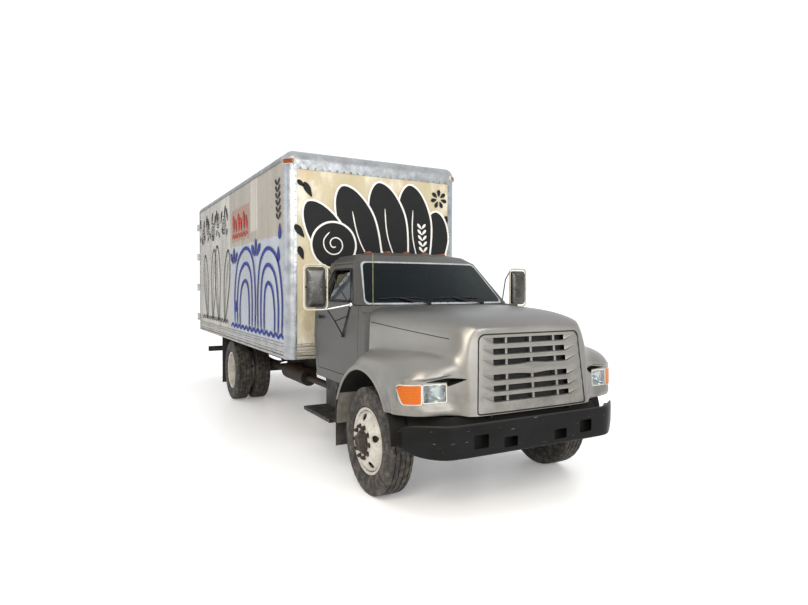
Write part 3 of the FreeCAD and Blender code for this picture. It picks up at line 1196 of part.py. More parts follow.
def van_body():
    half, length, height = at.body_half, at.body_length, at.body_top - at.body_bottom
    outer, inner = van_form(0), van_form(at.skin_recess + at.panel_thickness)
    whole = outer.cut(inner)
    panel = van_form(at.skin_recess).cut(inner)
    wall_end = length - at.rear_frame_depth
    past = half + at.overrun
    post, side_rail, front_rail = at.post_width, at.side_rail_height, at.front_rail_height

    posts = van_region((half - post, past), (-at.overrun, post), (0, height))
    side = van_region((half - side_rail, past), (-at.overrun, wall_end), (height - side_rail, height))
    front = van_region((-past, past), (-at.overrun, post), (height - front_rail, height + at.overrun))
    rails_space = front.fuse([posts, side, posts.mirror(Vector(), ACROSS), side.mirror(Vector(), ACROSS)])
    node("box_rails", feature("box_rails", whole.common(rails_space)))

    rib_pitch = at.base_rail_height / at.rib_count
    ribs = []
    for k in range(int(at.rib_count)):
        low = k * rib_pitch + (rib_pitch - at.rib_height) / 2
        ribs.append(van_region((-past, past), (-at.overrun, wall_end), (low, low + at.rib_height)))
    ribbed = panel.fuse(whole.common(Part.makeCompound(ribs)))
    front_space = van_region((post - half, half - post), (-at.overrun, at.corner_radius),
                             (0, height - front_rail))
    node("box_front_wall", feature("box_front_wall", ribbed.common(front_space).removeSplitter()))
    side_space = van_region((half - post, past), (post, wall_end), (0, height - side_rail))
    left = ribbed.common(side_space).removeSplitter()
    node("box_side_left", feature("box_side_left", left))
    node("box_side_right", feature("box_side_right", left.mirror(Vector(), ACROSS)))

    roof_half = half - side_rail
    roof = panel.common(van_region((-roof_half, roof_half), (post, wall_end), (height - side_rail, height)))
    bows = []
    under = at.skin_recess + at.panel_thickness
    for k in range(1, int(wall_end / at.roof_bow_pitch)):
        y = k * at.roof_bow_pitch
        bows.append(van_region((-roof_half, roof_half), (y, y + at.roof_bow_width),
                               (height - under - at.roof_bow_height, height - under)))
    node("box_roof", feature("box_roof", roof.fuse(bows).removeSplitter()))
    return outer, inner


# Floor: boards on cross sills, on two long sills that lie on the frame's rails
def van_floor():
    length = "body_length - rear_frame_depth - skin_recess - panel_thickness"
    start = "body_front_y + skin_recess + panel_thickness"
    boards = block("floor_boards", ("2 * wall_inner", length, "floor_thickness"),
                   ("-wall_inner", start, "floor_top - floor_thickness"))
    sill = block("long_sill", ("sill_beam_width", length, "body_bottom - frame_top"),
                 ("rail_half - sill_beam_width", start, "frame_top"))
    sills = []
    span = at.body_length - at.rear_frame_depth - 2 * at.cross_sill_margin
    for k in range(int(span / at.cross_sill_pitch) + 1):
        y = f"body_front_y + cross_sill_margin + {k} * cross_sill_pitch"
        sills.append(block(f"cross_sill_{k}", ("2 * wall_inner", "cross_sill_width", "cross_sill_height"),
                           ("-wall_inner", y, "body_bottom")))
    floor = fuse("floor_pieces", boards, sill, mirrored("long_sill_right", sill), *sills)
    node("box_floor", cut("box_floor", floor, nodes["box_rails"]))


# Rear frame: posts, header and sill round the doors, with the hinges' lugs and pins and the rods' keepers
HINGE_SHARES = (0.05, 0.33, 0.62, 0.9)


def hinge_heights():
    return [f"(door_foot_z + {share} * (door_head_z - door_foot_z))" for share in HINGE_SHARES]


def rear_frame(outer):
    depth = at.rear_frame_depth
    rear = at.body_rear_y
    slab = outer.common(box_shape((-at.body_width, at.body_width), (rear - depth, rear),
                                  (0, 2 * at.body_top)))
    hole = box_shape((-at.rear_post_inner, at.rear_post_inner), (rear - 2 * depth, rear + depth),
                     (at.door_foot_z, at.door_head_z))
    frame = feature("rear_frame_ring", slab.cut(hole))
    left = []
    for k, z in enumerate(hinge_heights()):
        lug_depth = "hinge_back + hinge_knuckle_radius"
        lug_size = ("hinge_out + hinge_lug_overlap", lug_depth, "hinge_lug_height")
        for low in (f"{z} - knuckle_play - hinge_lug_height", f"{z} + hinge_leaf_height + knuckle_play"):
            left.append(block(f"hinge_lug_{k}", lug_size,
                              ("body_half - hinge_lug_overlap", "body_rear_y", low)))
            left.append(rod(f"lug_end_{k}", "hinge_knuckle_radius", "hinge_lug_height",
                            ("hinge_x", "hinge_y", low)))
        left.append(rod(f"hinge_pin_{k}", "hinge_pin_radius", "hinge_leaf_height + 2 * knuckle_play",
                        ("hinge_x", "hinge_y", f"{z} - knuckle_play")))
    for k, low in enumerate(("door_foot_z - rod_guide_gap - keeper_height", "door_head_z + rod_guide_gap")):
        left.append(block(f"keeper_{k}", ("rod_guide_width", "lock_reach", "keeper_height"),
                          ("lock_rod_x - rod_guide_width / 2", "body_rear_y", low)))
    left = fuse("rear_hardware_left", *left)
    node("box_rear_frame", fuse("box_rear_frame", frame, left, mirrored("rear_hardware_right", left)))


# Cargo doors: plain leaves with strap hinges, a lock rod in its guides and a lift handle
ROD_GUIDE_SHARES = (0.03, 0.3, 0.62, 0.94)


def cargo_doors():
    foot, head = "door_foot_z + cargo_door_gap", "door_head_z - cargo_door_gap"
    edge = "rear_post_inner - cargo_door_gap"
    pieces = [block("cargo_leaf", (f"{edge} - centre_gap / 2", "cargo_door_thickness", f"{head} - ({foot})"),
                    ("centre_gap / 2", "body_rear_y - cargo_door_thickness", foot))]
    bores = []
    strap_size = ("hinge_leaf_length", "leaf_play + hinge_leaf_thickness", "hinge_leaf_height")
    strap_end_size = (f"hinge_x - ({edge})", "hinge_leaf_thickness", "hinge_leaf_height")
    for k, z in enumerate(hinge_heights()):
        pin = ("hinge_x", "hinge_y", z)
        pieces.append(block(f"strap_{k}", strap_size, (f"{edge} - hinge_leaf_length", "body_rear_y", z)))
        pieces.append(block(f"strap_end_{k}", strap_end_size, (edge, "body_rear_y + leaf_play", z)))
        pieces.append(rod(f"knuckle_{k}", "hinge_knuckle_radius", "hinge_leaf_height", pin))
        bores.append(rod(f"knuckle_bore_{k}", "hinge_pin_radius + pin_play", "hinge_leaf_height", pin))
    rod_y = "body_rear_y + lock_rod_stand + lock_rod_radius"
    pieces.append(rod("lock_rod", "lock_rod_radius", f"{head} - ({foot})", ("lock_rod_x", rod_y, foot)))
    guide_size = ("rod_guide_width", "lock_rod_stand + 2 * lock_rod_radius", "rod_guide_height / 2")
    for k, share in enumerate(ROD_GUIDE_SHARES):
        z = f"{foot} + {share} * ({head} - ({foot}))"
        pieces.append(block(f"rod_guide_{k}", guide_size,
                            ("lock_rod_x - rod_guide_width / 2", "body_rear_y", z)))
    handle_z = f"{foot} + lock_handle_share * ({head} - ({foot}))"
    pieces.append(block("lock_handle", ("lock_handle_length", "lock_rod_radius", "lock_handle_height"),
                        ("lock_rod_x", "body_rear_y + lock_rod_stand", handle_z)))
    leaf = cut("cargo_door_leaf", fuse("cargo_door_pieces", *pieces), *bores)
    node("cargo_door_left", leaf)
    node("cargo_door_right", mirrored("cargo_door_right", leaf))


# Rear bumper bar on two hangers from the frame's ends
def rear_bumper():
    bar = block("rear_bar", ("2 * rear_bumper_half", "rear_bumper_depth", "rear_bumper_height"),
                ("-rear_bumper_half", "body_rear_y - rear_bumper_depth", "rear_bumper_z"))
    hanger = block("bar_hanger", ("bumper_hanger_width", "rear_bumper_depth", "frame_top - rear_bumper_z"),
                   ("rail_half - bumper_hanger_width", "frame_rear_y", "rear_bumper_z"))
    node("rear_bumper", fuse("rear_bumper", bar, hanger, mirrored("bar_hanger_right", hanger)))


# Lamps: five on the cab's roof, one at each front corner of the van body, and the tail lamps
ROOF_LAMP_SHARES = (-1, -0.5, 0, 0.5, 1)


def lamps(cab_outer, van_outer):
    pieces = []
    y, width, depth = at.front_axle_y + at.roof_lamp_y, at.roof_lamp_width / 2, at.roof_lamp_depth / 2
    top = at.roof_crown_z + at.roof_lamp_height
    for share in ROOF_LAMP_SHARES:
        x = share * at.roof_lamp_x
        solid = box_shape((x - width, x + width), (y - depth, y + depth), (at.roof_edge_z, top))
        pieces.append(solid.cut(cab_outer))
    z = at.body_top - at.marker_drop
    rear = at.body_front_y + at.post_width
    corner = box_shape((at.body_half - at.corner_radius, at.body_half + at.marker_depth),
                       (rear - at.marker_width, rear), (z - at.marker_height, z))
    corner = corner.cut(van_outer)
    pieces += [corner, corner.mirror(Vector(), ACROSS)]
    node("marker_lamps", feature("marker_lamps", Part.makeCompound(pieces)))
    tails = []
    for sign in ("", "-"):
        tails.append(rod("tail_lamp", "tail_lamp_radius", "tail_lamp_depth",
                         (f"{sign}tail_lamp_x", "body_rear_y", "(body_bottom + floor_top) / 2"), "y"))
    node("tail_lamps", gathered("tail_lamps", *tails))


van_outside, van_inside = van_body()
van_floor()
rear_frame(van_outside)
cargo_doors()
rear_bumper()
lamps(cab_outside, van_outside)


def finish():
    doc.recompute()
    os.makedirs("parts", exist_ok=True)
    for obj in doc.Objects:
        bad = {"Invalid", "Error"} & set(obj.State)
        if bad:
            raise RuntimeError(f"{obj.Name} is {bad}")
    for name, obj in nodes.items():
        shape = obj.Shape
        if shape.isNull() or not shape.isValid() or not shape.Solids:
            raise RuntimeError(f"{name} has no valid solid")
        shape.exportStep(f"parts/{name}.step")
        box = shape.BoundBox
        print(f"{name} {len(shape.Solids)} {shape.Volume / 1e6:.2f} litres, x {box.XMin:.0f} {box.XMax:.0f}, "
              f"y {box.YMin:.0f} {box.YMax:.0f}, z {box.ZMin:.0f} {box.ZMax:.0f}")


finish()
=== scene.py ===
import math

import bmesh
import bpy
from mathutils import Matrix, Vector
from mathutils.bvhtree import BVHTree


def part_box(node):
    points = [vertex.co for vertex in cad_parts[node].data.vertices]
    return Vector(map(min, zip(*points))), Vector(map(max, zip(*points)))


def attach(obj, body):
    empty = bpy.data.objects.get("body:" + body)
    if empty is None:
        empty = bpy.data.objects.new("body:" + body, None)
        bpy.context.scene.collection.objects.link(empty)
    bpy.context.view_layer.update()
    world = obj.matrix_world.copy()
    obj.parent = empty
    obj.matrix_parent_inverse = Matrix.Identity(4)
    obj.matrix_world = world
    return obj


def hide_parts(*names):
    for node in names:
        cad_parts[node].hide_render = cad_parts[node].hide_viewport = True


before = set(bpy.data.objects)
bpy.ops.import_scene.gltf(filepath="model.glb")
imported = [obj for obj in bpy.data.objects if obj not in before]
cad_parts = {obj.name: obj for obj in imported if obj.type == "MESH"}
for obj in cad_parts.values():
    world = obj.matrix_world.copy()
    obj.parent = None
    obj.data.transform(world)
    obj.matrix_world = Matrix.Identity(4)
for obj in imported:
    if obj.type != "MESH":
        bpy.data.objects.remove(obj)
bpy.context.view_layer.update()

# The studio: a pale floor under a large soft sky, one broad lamp ahead on the right and weaker fills.
# The floor has a faint gloss, so the tyres and the bumper leave a soft grey shape below them.
scene = bpy.context.scene
scene.view_settings.view_transform = "Standard"


def linear(code):
    """A hex sRGB colour as Blender's linear red, green, blue and alpha."""
    channels = [int(code[i:i + 2], 16) / 255 for i in (0, 2, 4)]
    return tuple(c / 12.92 if c <= 0.04045 else ((c + 0.055) / 1.055) ** 2.4 for c in channels) + (1,)


def add_node(tree, kind, inputs=None, stops=(), **settings):
    """Adds a shader node. Inputs give a socket a value or link an output to it, stops fill a colour ramp."""
    made = tree.nodes.new("ShaderNode" + kind)
    for name, value in settings.items():
        setattr(made, name, value)
    for socket, value in (inputs or {}).items():
        if isinstance(value, bpy.types.NodeSocket):
            tree.links.new(value, made.inputs[socket])
        else:
            made.inputs[socket].default_value = value
    for k, (place, colour) in enumerate(stops):
        stop = made.color_ramp.elements[k] if k < 2 else made.color_ramp.elements.new(place)
        stop.position = place
        stop.color = linear(colour)
    return made


def new_material(name, colour, roughness, metallic=0, **values):
    """A material with its shader's plain values set; returned with its node tree and its shader."""
    material = bpy.data.materials.new(name)
    material.use_nodes = True
    shader = material.node_tree.nodes["Principled BSDF"]
    shader.inputs["Base Color"].default_value = linear(colour)
    shader.inputs["Roughness"].default_value = roughness
    shader.inputs["Metallic"].default_value = metallic
    for socket, value in values.items():
        shader.inputs[socket.replace("_", " ")].default_value = value
    return material, material.node_tree, shader


# The sky is white ahead of the camera and overhead, and dimmer behind it, so the enamel has shades to mirror.
world = bpy.data.worlds.new("studio_sky")
world.use_nodes = True
tree = world.node_tree
where = add_node(tree, "TexCoord").outputs["Generated"]
towards = add_node(tree, "VectorMath", {0: where, 1: (0.485, 0.875, 0.5)}, operation="DOT_PRODUCT").outputs["Value"]
strength = add_node(tree, "MapRange", {"Value": towards, "From Min": -0.35, "From Max": 0.45,
                                       "To Min": 0.62, "To Max": 1.12})
tree.links.new(strength.outputs[0], tree.nodes["Background"].inputs["Strength"])
tree.nodes["Background"].inputs["Color"].default_value = linear("fdfeff")
scene.world = world

bpy.ops.mesh.primitive_plane_add(size=120, location=(0, 0, 0))
floor = bpy.context.object
floor.name = "studio_floor"
floor_paper, _, _ = new_material("studio_paper", "fbfbfb", 0.35, Specular_IOR_Level=0.3,
                                 Emission_Color=linear("ffffff"), Emission_Strength=0.16)
floor.data.materials.append(floor_paper)


def add_lamp(name, place, target, size, power, colour):
    """A square lamp at a place in metres, turned towards a target."""
    lamp = bpy.data.lights.new(name, "AREA")
    lamp.shape = "RECTANGLE"
    lamp.size, lamp.size_y = size
    lamp.energy = power
    lamp.color = linear(colour)[:3]
    holder = bpy.data.objects.new(name, lamp)
    scene.collection.objects.link(holder)
    holder.location = place
    holder.rotation_euler = (Vector(target) - Vector(place)).to_track_quat("-Z", "Y").to_euler()


add_lamp("key_lamp", (-7, -11, 7), (0, -2.5, 1), (6, 5), 900, "fff6e8")
add_lamp("side_fill", (-12, 2, 5), (0, 1, 1.5), (7, 5), 120, "eef3ff")
add_lamp("front_fill", (1.5, -15, 4.5), (0, -3, 1), (8, 5), 620, "ffffff")

# The camera stands at the right front corner at the height of a standing person's eyes, as the photo was taken,
# with a wide lens. Its place, turn and lens come from the photo's vanishing points.
camera_data = bpy.data.cameras.new("photo_camera")
camera_data.sensor_width = 36
camera_data.lens = 25.78
camera_data.clip_end = 200
camera = bpy.data.objects.new("photo_camera", camera_data)
scene.collection.objects.link(camera)
camera.location = (-3.364, -8.2615, 1.882)
camera.rotation_euler = (math.radians(90 - 1.421), math.radians(-0.153), math.radians(-28.978))
scene.camera = camera

# Hood: one piece of moulded fibreglass with its fenders and nose, painted in satin metallic silver, hinged
# below the grille. A cage of control points in mm, measured from the front axle, is rounded by subdivision,
# given the wall of the moulding and cut open for the grille and the lamps.
FRONT_AXLE_Y = -3522.5
HOOD_TOP = (
    ((0, 448, 1704), (300, 448, 1703), (520, 446, 1701), (690, 436, 1694), (805, 422, 1678), (893, 392, 1650)),
    ((0, 140, 1716), (300, 140, 1714), (515, 140, 1709), (668, 140, 1700), (785, 136, 1677), (872, 128, 1630)),
    ((0, -120, 1712), (290, -120, 1710), (500, -120, 1704), (640, -120, 1692), (745, -118, 1665), (830, -115, 1613)),
    ((0, -360, 1702), (280, -360, 1700), (485, -360, 1694), (610, -358, 1680), (705, -355, 1652), (780, -350, 1598)),
    ((0, -590, 1684), (265, -590, 1682), (460, -588, 1677), (575, -582, 1664), (662, -572, 1638), (730, -560, 1585)),
    ((0, -770, 1650), (255, -770, 1649), (440, -768, 1645), (545, -762, 1636), (625, -745, 1616), (690, -720, 1570)),
    ((0, -880, 1607), (250, -880, 1606), (430, -878, 1604), (525, -872, 1600), (595, -850, 1596), (655, -800, 1586)),
    ((0, -945, 1562), (250, -944, 1561), (430, -940, 1560), (520, -932, 1560), (580, -905, 1560), (618, -852, 1558)),
)
HOOD_SIDE = (
    ((948, 300, 1592), (990, 212, 1510), (1002, 210, 1325)),
    ((930, 95, 1556), (962, 70, 1450), (990, 62, 1332)),
    ((890, -110, 1540), (925, -105, 1440), (965, -98, 1341)),
    ((838, -335, 1528), (872, -310, 1432), (920, -270, 1346)),
    ((785, -545, 1515), (815, -510, 1425), (868, -450, 1352)),
    ((735, -705, 1505), (762, -690, 1420), (812, -655, 1350)),
    ((688, -812, 1512), (700, -842, 1420), (728, -862, 1310)),
    ((646, -872, 1500), (653, -900, 1410), (658, -915, 1310)),
)
FENDER_TOP = (
    ((1018, 210, 1306), (1042, 210, 1287), (1070, 210, 1268), (1100, 210, 1247), (1128, 210, 1220)),
    ((1012, 60, 1313), (1045, 60, 1298), (1082, 60, 1283), (1115, 60, 1267), (1142, 60, 1243)),
    ((992, -95, 1322), (1035, -92, 1307), (1080, -90, 1294), (1120, -90, 1279), (1152, -90, 1256)),
    ((955, -262, 1330), (1010, -252, 1317), (1068, -245, 1304), (1117, -242, 1286), (1154, -240, 1260)),
    ((912, -432, 1338), (978, -412, 1326), (1050, -398, 1310), (1108, -392, 1288), (1151, -390, 1256)),
    ((868, -640, 1338), (945, -612, 1326), (1028, -582, 1306), (1096, -560, 1276), (1140, -542, 1240)),
)
# the fender's front from the nose outwards: the brow, the hollow below it, the lamps' panel and the lip
FENDER_FRONT = (
    ((728, -862, 1310), (812, -842, 1306), (910, -828, 1293), (1005, -803, 1268),
     (1075, -755, 1240), (1118, -690, 1215)),
    ((716, -888, 1216), (808, -872, 1188), (910, -866, 1172), (1015, -842, 1162),
     (1095, -792, 1160), (1152, -722, 1162)),
    ((716, -888, 1180), (808, -838, 1164), (912, -834, 1152), (1025, -816, 1142),
     (1104, -784, 1140), (1160, -728, 1142)),
    ((716, -888, 1110), (812, -836, 1108), (912, -833, 1105), (1028, -815, 1100),
     (1106, -785, 1100), (1166, -735, 1100)),
    ((716, -893, 1010), (812, -840, 1010), (912, -836, 1010), (1028, -818, 1010),
     (1108, -787, 1010), (1168, -735, 1010)),
    ((716, -898, 945), (812, -845, 945), (912, -842, 945), (1028, -822, 945), (1108, -790, 945), (1168, -730, 945)),
    ((714, -908, 895), (812, -872, 895), (912, -868, 897), (1028, -844, 899), (1106, -801, 901), (1165, -722, 902)),
    ((712, -902, 858), (812, -864, 862), (912, -858, 864), (1026, -832, 866), (1100, -790, 866), (1155, -712, 866)),
)
NOSE_CORNER = ((662, -922, 1225), (664, -926, 1185), (667, -932, 1110), (670, -940, 1010), (672, -945, 945),
               (674, -948, 895), (674, -950, 850))
NOSE_LEVELS = (1500, 1410, 1310, 1225, 1185, 1110, 1010, 945, 895, 850)
NOSE_COLUMNS = ((0, 0), (250, 1), (430, 3), (545, 9), (606, 22))
ARCH_CENTRE = (-30, 592)
ARCH_ROWS = ((1180, 614), (1209, 590), (1220, 561), (1203, 556))
ARCH_ANGLES = (68.5, 79, 91, 103, 112, 119.5, 126)
ARCH_FRONT_LEVELS = (1025, 995, 965, 935, 908, 886, 866)
ARCH_MIDDLE = ((1152, 203, 1190), (1166, 56, 1215), (1174, -82, 1228), (1176, -216, 1228), (1176, -352, 1205),
               (1178, -465, 1172), (1182, -560, 1140), (1198, -598, 1098), (1205, -612, 1068), (1210, -628, 1030),
               (1213, -638, 985), (1214, -642, 932), (1212, -640, 894), (1205, -638, 866))
SHELF_ANGLES = (58, 47, 36, 27, 21)
SHELF_XS = (1004, 1018, 1042, 1070, 1100, 1150)


def deselect_all():
    for each in bpy.context.selected_objects:
        each.select_set(False)


def made_active(obj):
    """Makes an object the active and only selected one."""
    deselect_all()
    obj.select_set(True)
    bpy.context.view_layer.objects.active = obj
    return obj


def mesh_object(name, points, faces):
    """A new active object from points in mm and faces."""
    mesh = bpy.data.meshes.new(name)
    mesh.from_pydata([Vector(p) / 1000 for p in points], [], faces)
    made = bpy.data.objects.new(name, mesh)
    scene.collection.objects.link(made)
    return made_active(made)


def use_modifier(obj, kind, **settings):
    """Adds a modifier with its settings and applies it."""
    made_active(obj)
    modifier = obj.modifiers.new(kind.lower(), kind)
    for name, value in settings.items():
        setattr(modifier, name, value)
    bpy.ops.object.modifier_apply(modifier=modifier.name)
    return obj


def bevel(obj, width, segments=2, sharper_than=30):
    """Rounds the edges whose faces meet at more than an angle in degrees, by a width in metres."""
    return use_modifier(obj, "BEVEL", width=width, segments=segments, limit_method="ANGLE",
                        angle_limit=math.radians(sharper_than))


def thicken(obj, thickness, offset=0):
    """Gives a sheet its thickness in metres, about its middle or to one side."""
    return use_modifier(obj, "SOLIDIFY", thickness=thickness, offset=offset)


def smooth_by_angle(obj, degrees):
    made_active(obj)
    bpy.ops.object.shade_smooth_by_angle(angle=math.radians(degrees))
    return obj


def faces_out(obj, merge=0):
    """Turns an object's faces outwards, once its points within a distance in metres are merged."""
    made_active(obj)
    bpy.ops.object.mode_set(mode="EDIT")
    bpy.ops.mesh.select_all(action="SELECT")
    if merge:
        bpy.ops.mesh.remove_doubles(threshold=merge)
    bpy.ops.mesh.normals_make_consistent(inside=False)
    bpy.ops.object.mode_set(mode="OBJECT")
    return obj


def dressed(piece, material, body, node=None):
    """Gives a piece its material, the body it rides on and the node it stands for, if any."""
    if material:
        piece.data.materials.clear()
        piece.data.materials.append(material)
    if node:
        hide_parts(node)
    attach(piece, body)
    return piece


class Cage:
    """Control points kept once each, and the quads between rows of them."""

    def __init__(self):
        self.points, self.index, self.faces = [], {}, []

    def at(self, point):
        key = tuple(round(value, 3) for value in point)
        if key not in self.index:
            self.index[key] = len(self.points)
            self.points.append(key)
        return self.index[key]

    def skin(self, rows):
        """Quads between rows of points, each row as long as the next."""
        for near, far in zip(rows, rows[1:]):
            for a, b, c, d in zip(near, near[1:], far[1:], far):
                self.faces.append([self.at(p) for p in (a, b, c, d)])


def skinned(name, rows):
    """An object of quads between rows of points in mm."""
    cage = Cage()
    cage.skin(rows)
    return mesh_object(name, cage.points, cage.faces)


def on_arch(angle, x, radius):
    """A place on the wheel arch, at an angle from straight back over the wheel."""
    turn = math.radians(angle)
    return (x, ARCH_CENTRE[0] + radius * math.cos(turn), ARCH_CENTRE[1] + radius * math.sin(turn))


def on_arch_front(z, x, radius):
    """A place on the front part of the wheel arch, at a height."""
    return (x, ARCH_CENTRE[0] - math.sqrt(radius ** 2 - (z - ARCH_CENTRE[1]) ** 2), z)


def nose_front_y(z):
    """The nose's front at a height: it leans back by 66 mm over its 650 mm."""
    return -990 + (z - 850) * 66 / 650


EVEN = (1, 1, 1)


def finish(name, colours, patch, roughness, metallic=0, grain=0.003, depth=0, stretch=EVEN, marks=(), **values):
    """A material whose colour and gloss wander over patches of a size in metres, with a grain raised by a depth
    in metres. Each mark lays a colour over it in blotches: its size, the noise it starts and is full at, how
    far it covers, the heights between which it fades in, or None, and how its blotches are stretched."""
    material, tree, shader = new_material(name, colours[0], roughness[0], metallic, **values)
    where = add_node(tree, "TexCoord").outputs["Object"]
    spread = add_node(tree, "Mapping", {"Vector": where, "Scale": stretch}).outputs[0]
    patches = add_node(tree, "TexNoise", {"Vector": spread, "Scale": 1 / patch, "Detail": 7, "Roughness": 0.6})
    stops = [(0.3 + 0.4 * k / max(len(colours) - 1, 1), c) for k, c in enumerate(colours)]
    colour = add_node(tree, "ValToRGB", {"Fac": patches.outputs["Fac"]}, stops).outputs["Color"]
    gloss = add_node(tree, "MapRange", {"Value": patches.outputs["Fac"], "From Min": 0.3, "From Max": 0.7,
                                        "To Min": roughness[0], "To Max": roughness[1]})
    tree.links.new(gloss.outputs[0], shader.inputs["Roughness"])
    height = add_node(tree, "SeparateXYZ", {"Vector": where}).outputs["Z"]
    for code, size, start, full, most, fade, mark_stretch in marks:
        place = add_node(tree, "Mapping", {"Vector": where, "Scale": mark_stretch}).outputs[0]
        blotch = add_node(tree, "TexNoise", {"Vector": place, "Scale": 1 / size, "Detail": 8, "Roughness": 0.65})
        cover = add_node(tree, "MapRange", {"Value": blotch.outputs["Fac"], "From Min": start, "From Max": full,
                                            "To Max": most}).outputs[0]
        if fade:
            share = add_node(tree, "MapRange", {"Value": height, "From Min": fade[0], "From Max": fade[1]})
            cover = add_node(tree, "Math", {0: cover, 1: share.outputs[0]}, operation="MULTIPLY").outputs[0]
        colour = add_node(tree, "Mix", {"Factor": cover, "A": colour, "B": linear(code)},
                          data_type="RGBA").outputs["Result"]
    tree.links.new(colour, shader.inputs["Base Color"])
    if depth:
        fine = add_node(tree, "TexNoise", {"Vector": where, "Scale": 1 / grain, "Detail": 3})
        raised = add_node(tree, "Bump", {"Height": fine.outputs["Fac"], "Distance": depth, "Strength": 1})
        tree.links.new(raised.outputs["Normal"], shader.inputs["Normal"])
    return material


def coat(material, *nodes):
    """Gives CAD nodes this material."""
    for node in nodes:
        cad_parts[node].data.materials.clear()
        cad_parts[node].data.materials.append(material)


# Two-pack truck enamel, sprayed in warm silver: fine aluminium flakes make it satin, dust dulls it in broad
# patches, and road dirt greys it towards the bottom. A bluish grey over the top of the hood is painted reflection of
# the sky.
silver_enamel = finish("silver_enamel", ("74726d", "817f7a", "8b8984"), 0.9, (0.32, 0.43), 0.68, 0.0025, 0.00006,
                       marks=(("4f4b44", 0.12, 0.38, 0.68, 0.55, (1.25, 0.85), EVEN),
                              ("8a8882", 0.35, 0.5, 0.75, 0.35, None, EVEN),
                              # the bluish grey over the top of the hood is painted reflection of the sky
                              ("353a41", 0.5, 0.0, 0.05, 0.75, (1.54, 1.68), EVEN)),
                       Coat_Weight=0.25, Coat_Roughness=0.33)

hood_cage = Cage()
hood_cage.skin(HOOD_TOP)
hood_cage.skin([[HOOD_TOP[u][5], *HOOD_SIDE[u]] for u in range(8)])
hood_cage.skin([[HOOD_SIDE[u][2], *FENDER_TOP[u]] for u in range(6)] + [list(FENDER_FRONT[0])])
hood_cage.skin([list(row) for row in FENDER_FRONT])
corner_column = [HOOD_SIDE[7][2], *NOSE_CORNER]
hood_cage.skin([[FENDER_FRONT[k][0], corner_column[k]] for k in range(8)])
front_rows = [list(HOOD_TOP[7])]
for k, z in enumerate(NOSE_LEVELS):
    edge = HOOD_SIDE[7][k] if k < 3 else corner_column[k - 2]
    spread = 1 + 0.06 * (1500 - z) / 650
    front_rows.append([(x * spread if x < 600 else x + 20 * (1500 - z) / 650, nose_front_y(z) + back, z)
                       for x, back in NOSE_COLUMNS] + [edge])
hood_cage.skin(front_rows)
outer_edge = [FENDER_TOP[u][4] for u in range(6)] + [FENDER_FRONT[k][5] for k in range(8)]
arch_columns = []
for k, (start, middle) in enumerate(zip(outer_edge, ARCH_MIDDLE)):
    if k < len(ARCH_ANGLES):
        ring = [on_arch(ARCH_ANGLES[k], *row) for row in ARCH_ROWS]
    else:
        ring = [on_arch_front(ARCH_FRONT_LEVELS[k - len(ARCH_ANGLES)], *row) for row in ARCH_ROWS]
    arch_columns.append([start, middle, *ring])
hood_cage.skin(arch_columns)
shelf_start = [on_arch(ARCH_ANGLES[0] + 1, x, 620) for x in SHELF_XS[:5]] + [ARCH_MIDDLE[0]]
hood_cage.skin([[HOOD_SIDE[0][2], *FENDER_TOP[0]], shelf_start])
shelf = [shelf_start + arch_columns[0][2:]]
for angle in SHELF_ANGLES:
    shelf.append([on_arch(angle, x, 620) for x in SHELF_XS] + [on_arch(angle, *row) for row in ARCH_ROWS])
hood_cage.skin(shelf)


def on_front_axle(points):
    return [(x, y + FRONT_AXLE_Y, z) for x, y, z in points]


hood_skin = faces_out(mesh_object("hood_shell", on_front_axle(hood_cage.points), hood_cage.faces))
if max(hood_skin.data.polygons, key=lambda p: p.center.z).normal.z < 0:
    hood_skin.data.flip_normals()
use_modifier(hood_skin, "MIRROR", use_clip=True, merge_threshold=0.0005)

# a styling line runs along each side of the hood, and the brow over the lamps ends in a tight edge
crease = hood_skin.data.attributes.new("crease_edge", "FLOAT", "EDGE")
styling_line, brow_line = ({tuple(round(v, 1) for v in p) for p in on_front_axle(line)} for line in (
    [side[0] for side in HOOD_SIDE[:7]], [p for row in FENDER_FRONT[1:3] for p in row[1:]]))
for edge in hood_skin.data.edges:
    ends = {tuple(round(1000 * v, 1) for v in hood_skin.data.vertices[k].co) for k in edge.vertices}
    ends = {(abs(x), y, z) for x, y, z in ends}
    if ends <= styling_line:
        crease.data[edge.index].value = 0.6
    elif ends <= brow_line:
        crease.data[edge.index].value = 0.5
use_modifier(hood_skin, "SUBSURF", levels=3, render_levels=3)


def copy_of(obj, name):
    """Another object with its own copy of the mesh, made active."""
    other = bpy.data.objects.new(name, obj.data.copy())
    scene.collection.objects.link(other)
    return made_active(other)


def delete_faces(obj, keep):
    """Deletes the faces whose middles the test doesn't keep."""
    shape = bmesh.new()
    shape.from_mesh(obj.data)
    bmesh.ops.delete(shape, geom=[f for f in shape.faces if not keep(f.calc_center_median())], context="FACES")
    shape.to_mesh(obj.data)
    shape.free()


def rounded(outline, radii, steps=6):
    """An anticlockwise outline's points with its corners rounded."""
    points, count = [], len(outline)
    for k, corner in enumerate(outline):
        corner = Vector(corner)
        before, after = Vector(outline[k - 1]), Vector(outline[(k + 1) % count])
        radius = radii[k] if radii else 0
        if not radius:
            points.append(corner)
            continue
        back, ahead = (before - corner).normalized(), (after - corner).normalized()
        half = back.angle(ahead) / 2
        reach = radius / math.tan(half)
        centre = corner + (back + ahead).normalized() * radius / math.sin(half)
        start, end = corner + back * reach - centre, corner + ahead * reach - centre
        turn = start.angle_signed(end)
        for i in range(steps + 1):
            spoke = start.copy()
            spoke.rotate(Matrix.Rotation(-turn * i / steps, 2))
            points.append(centre + spoke)
    return points


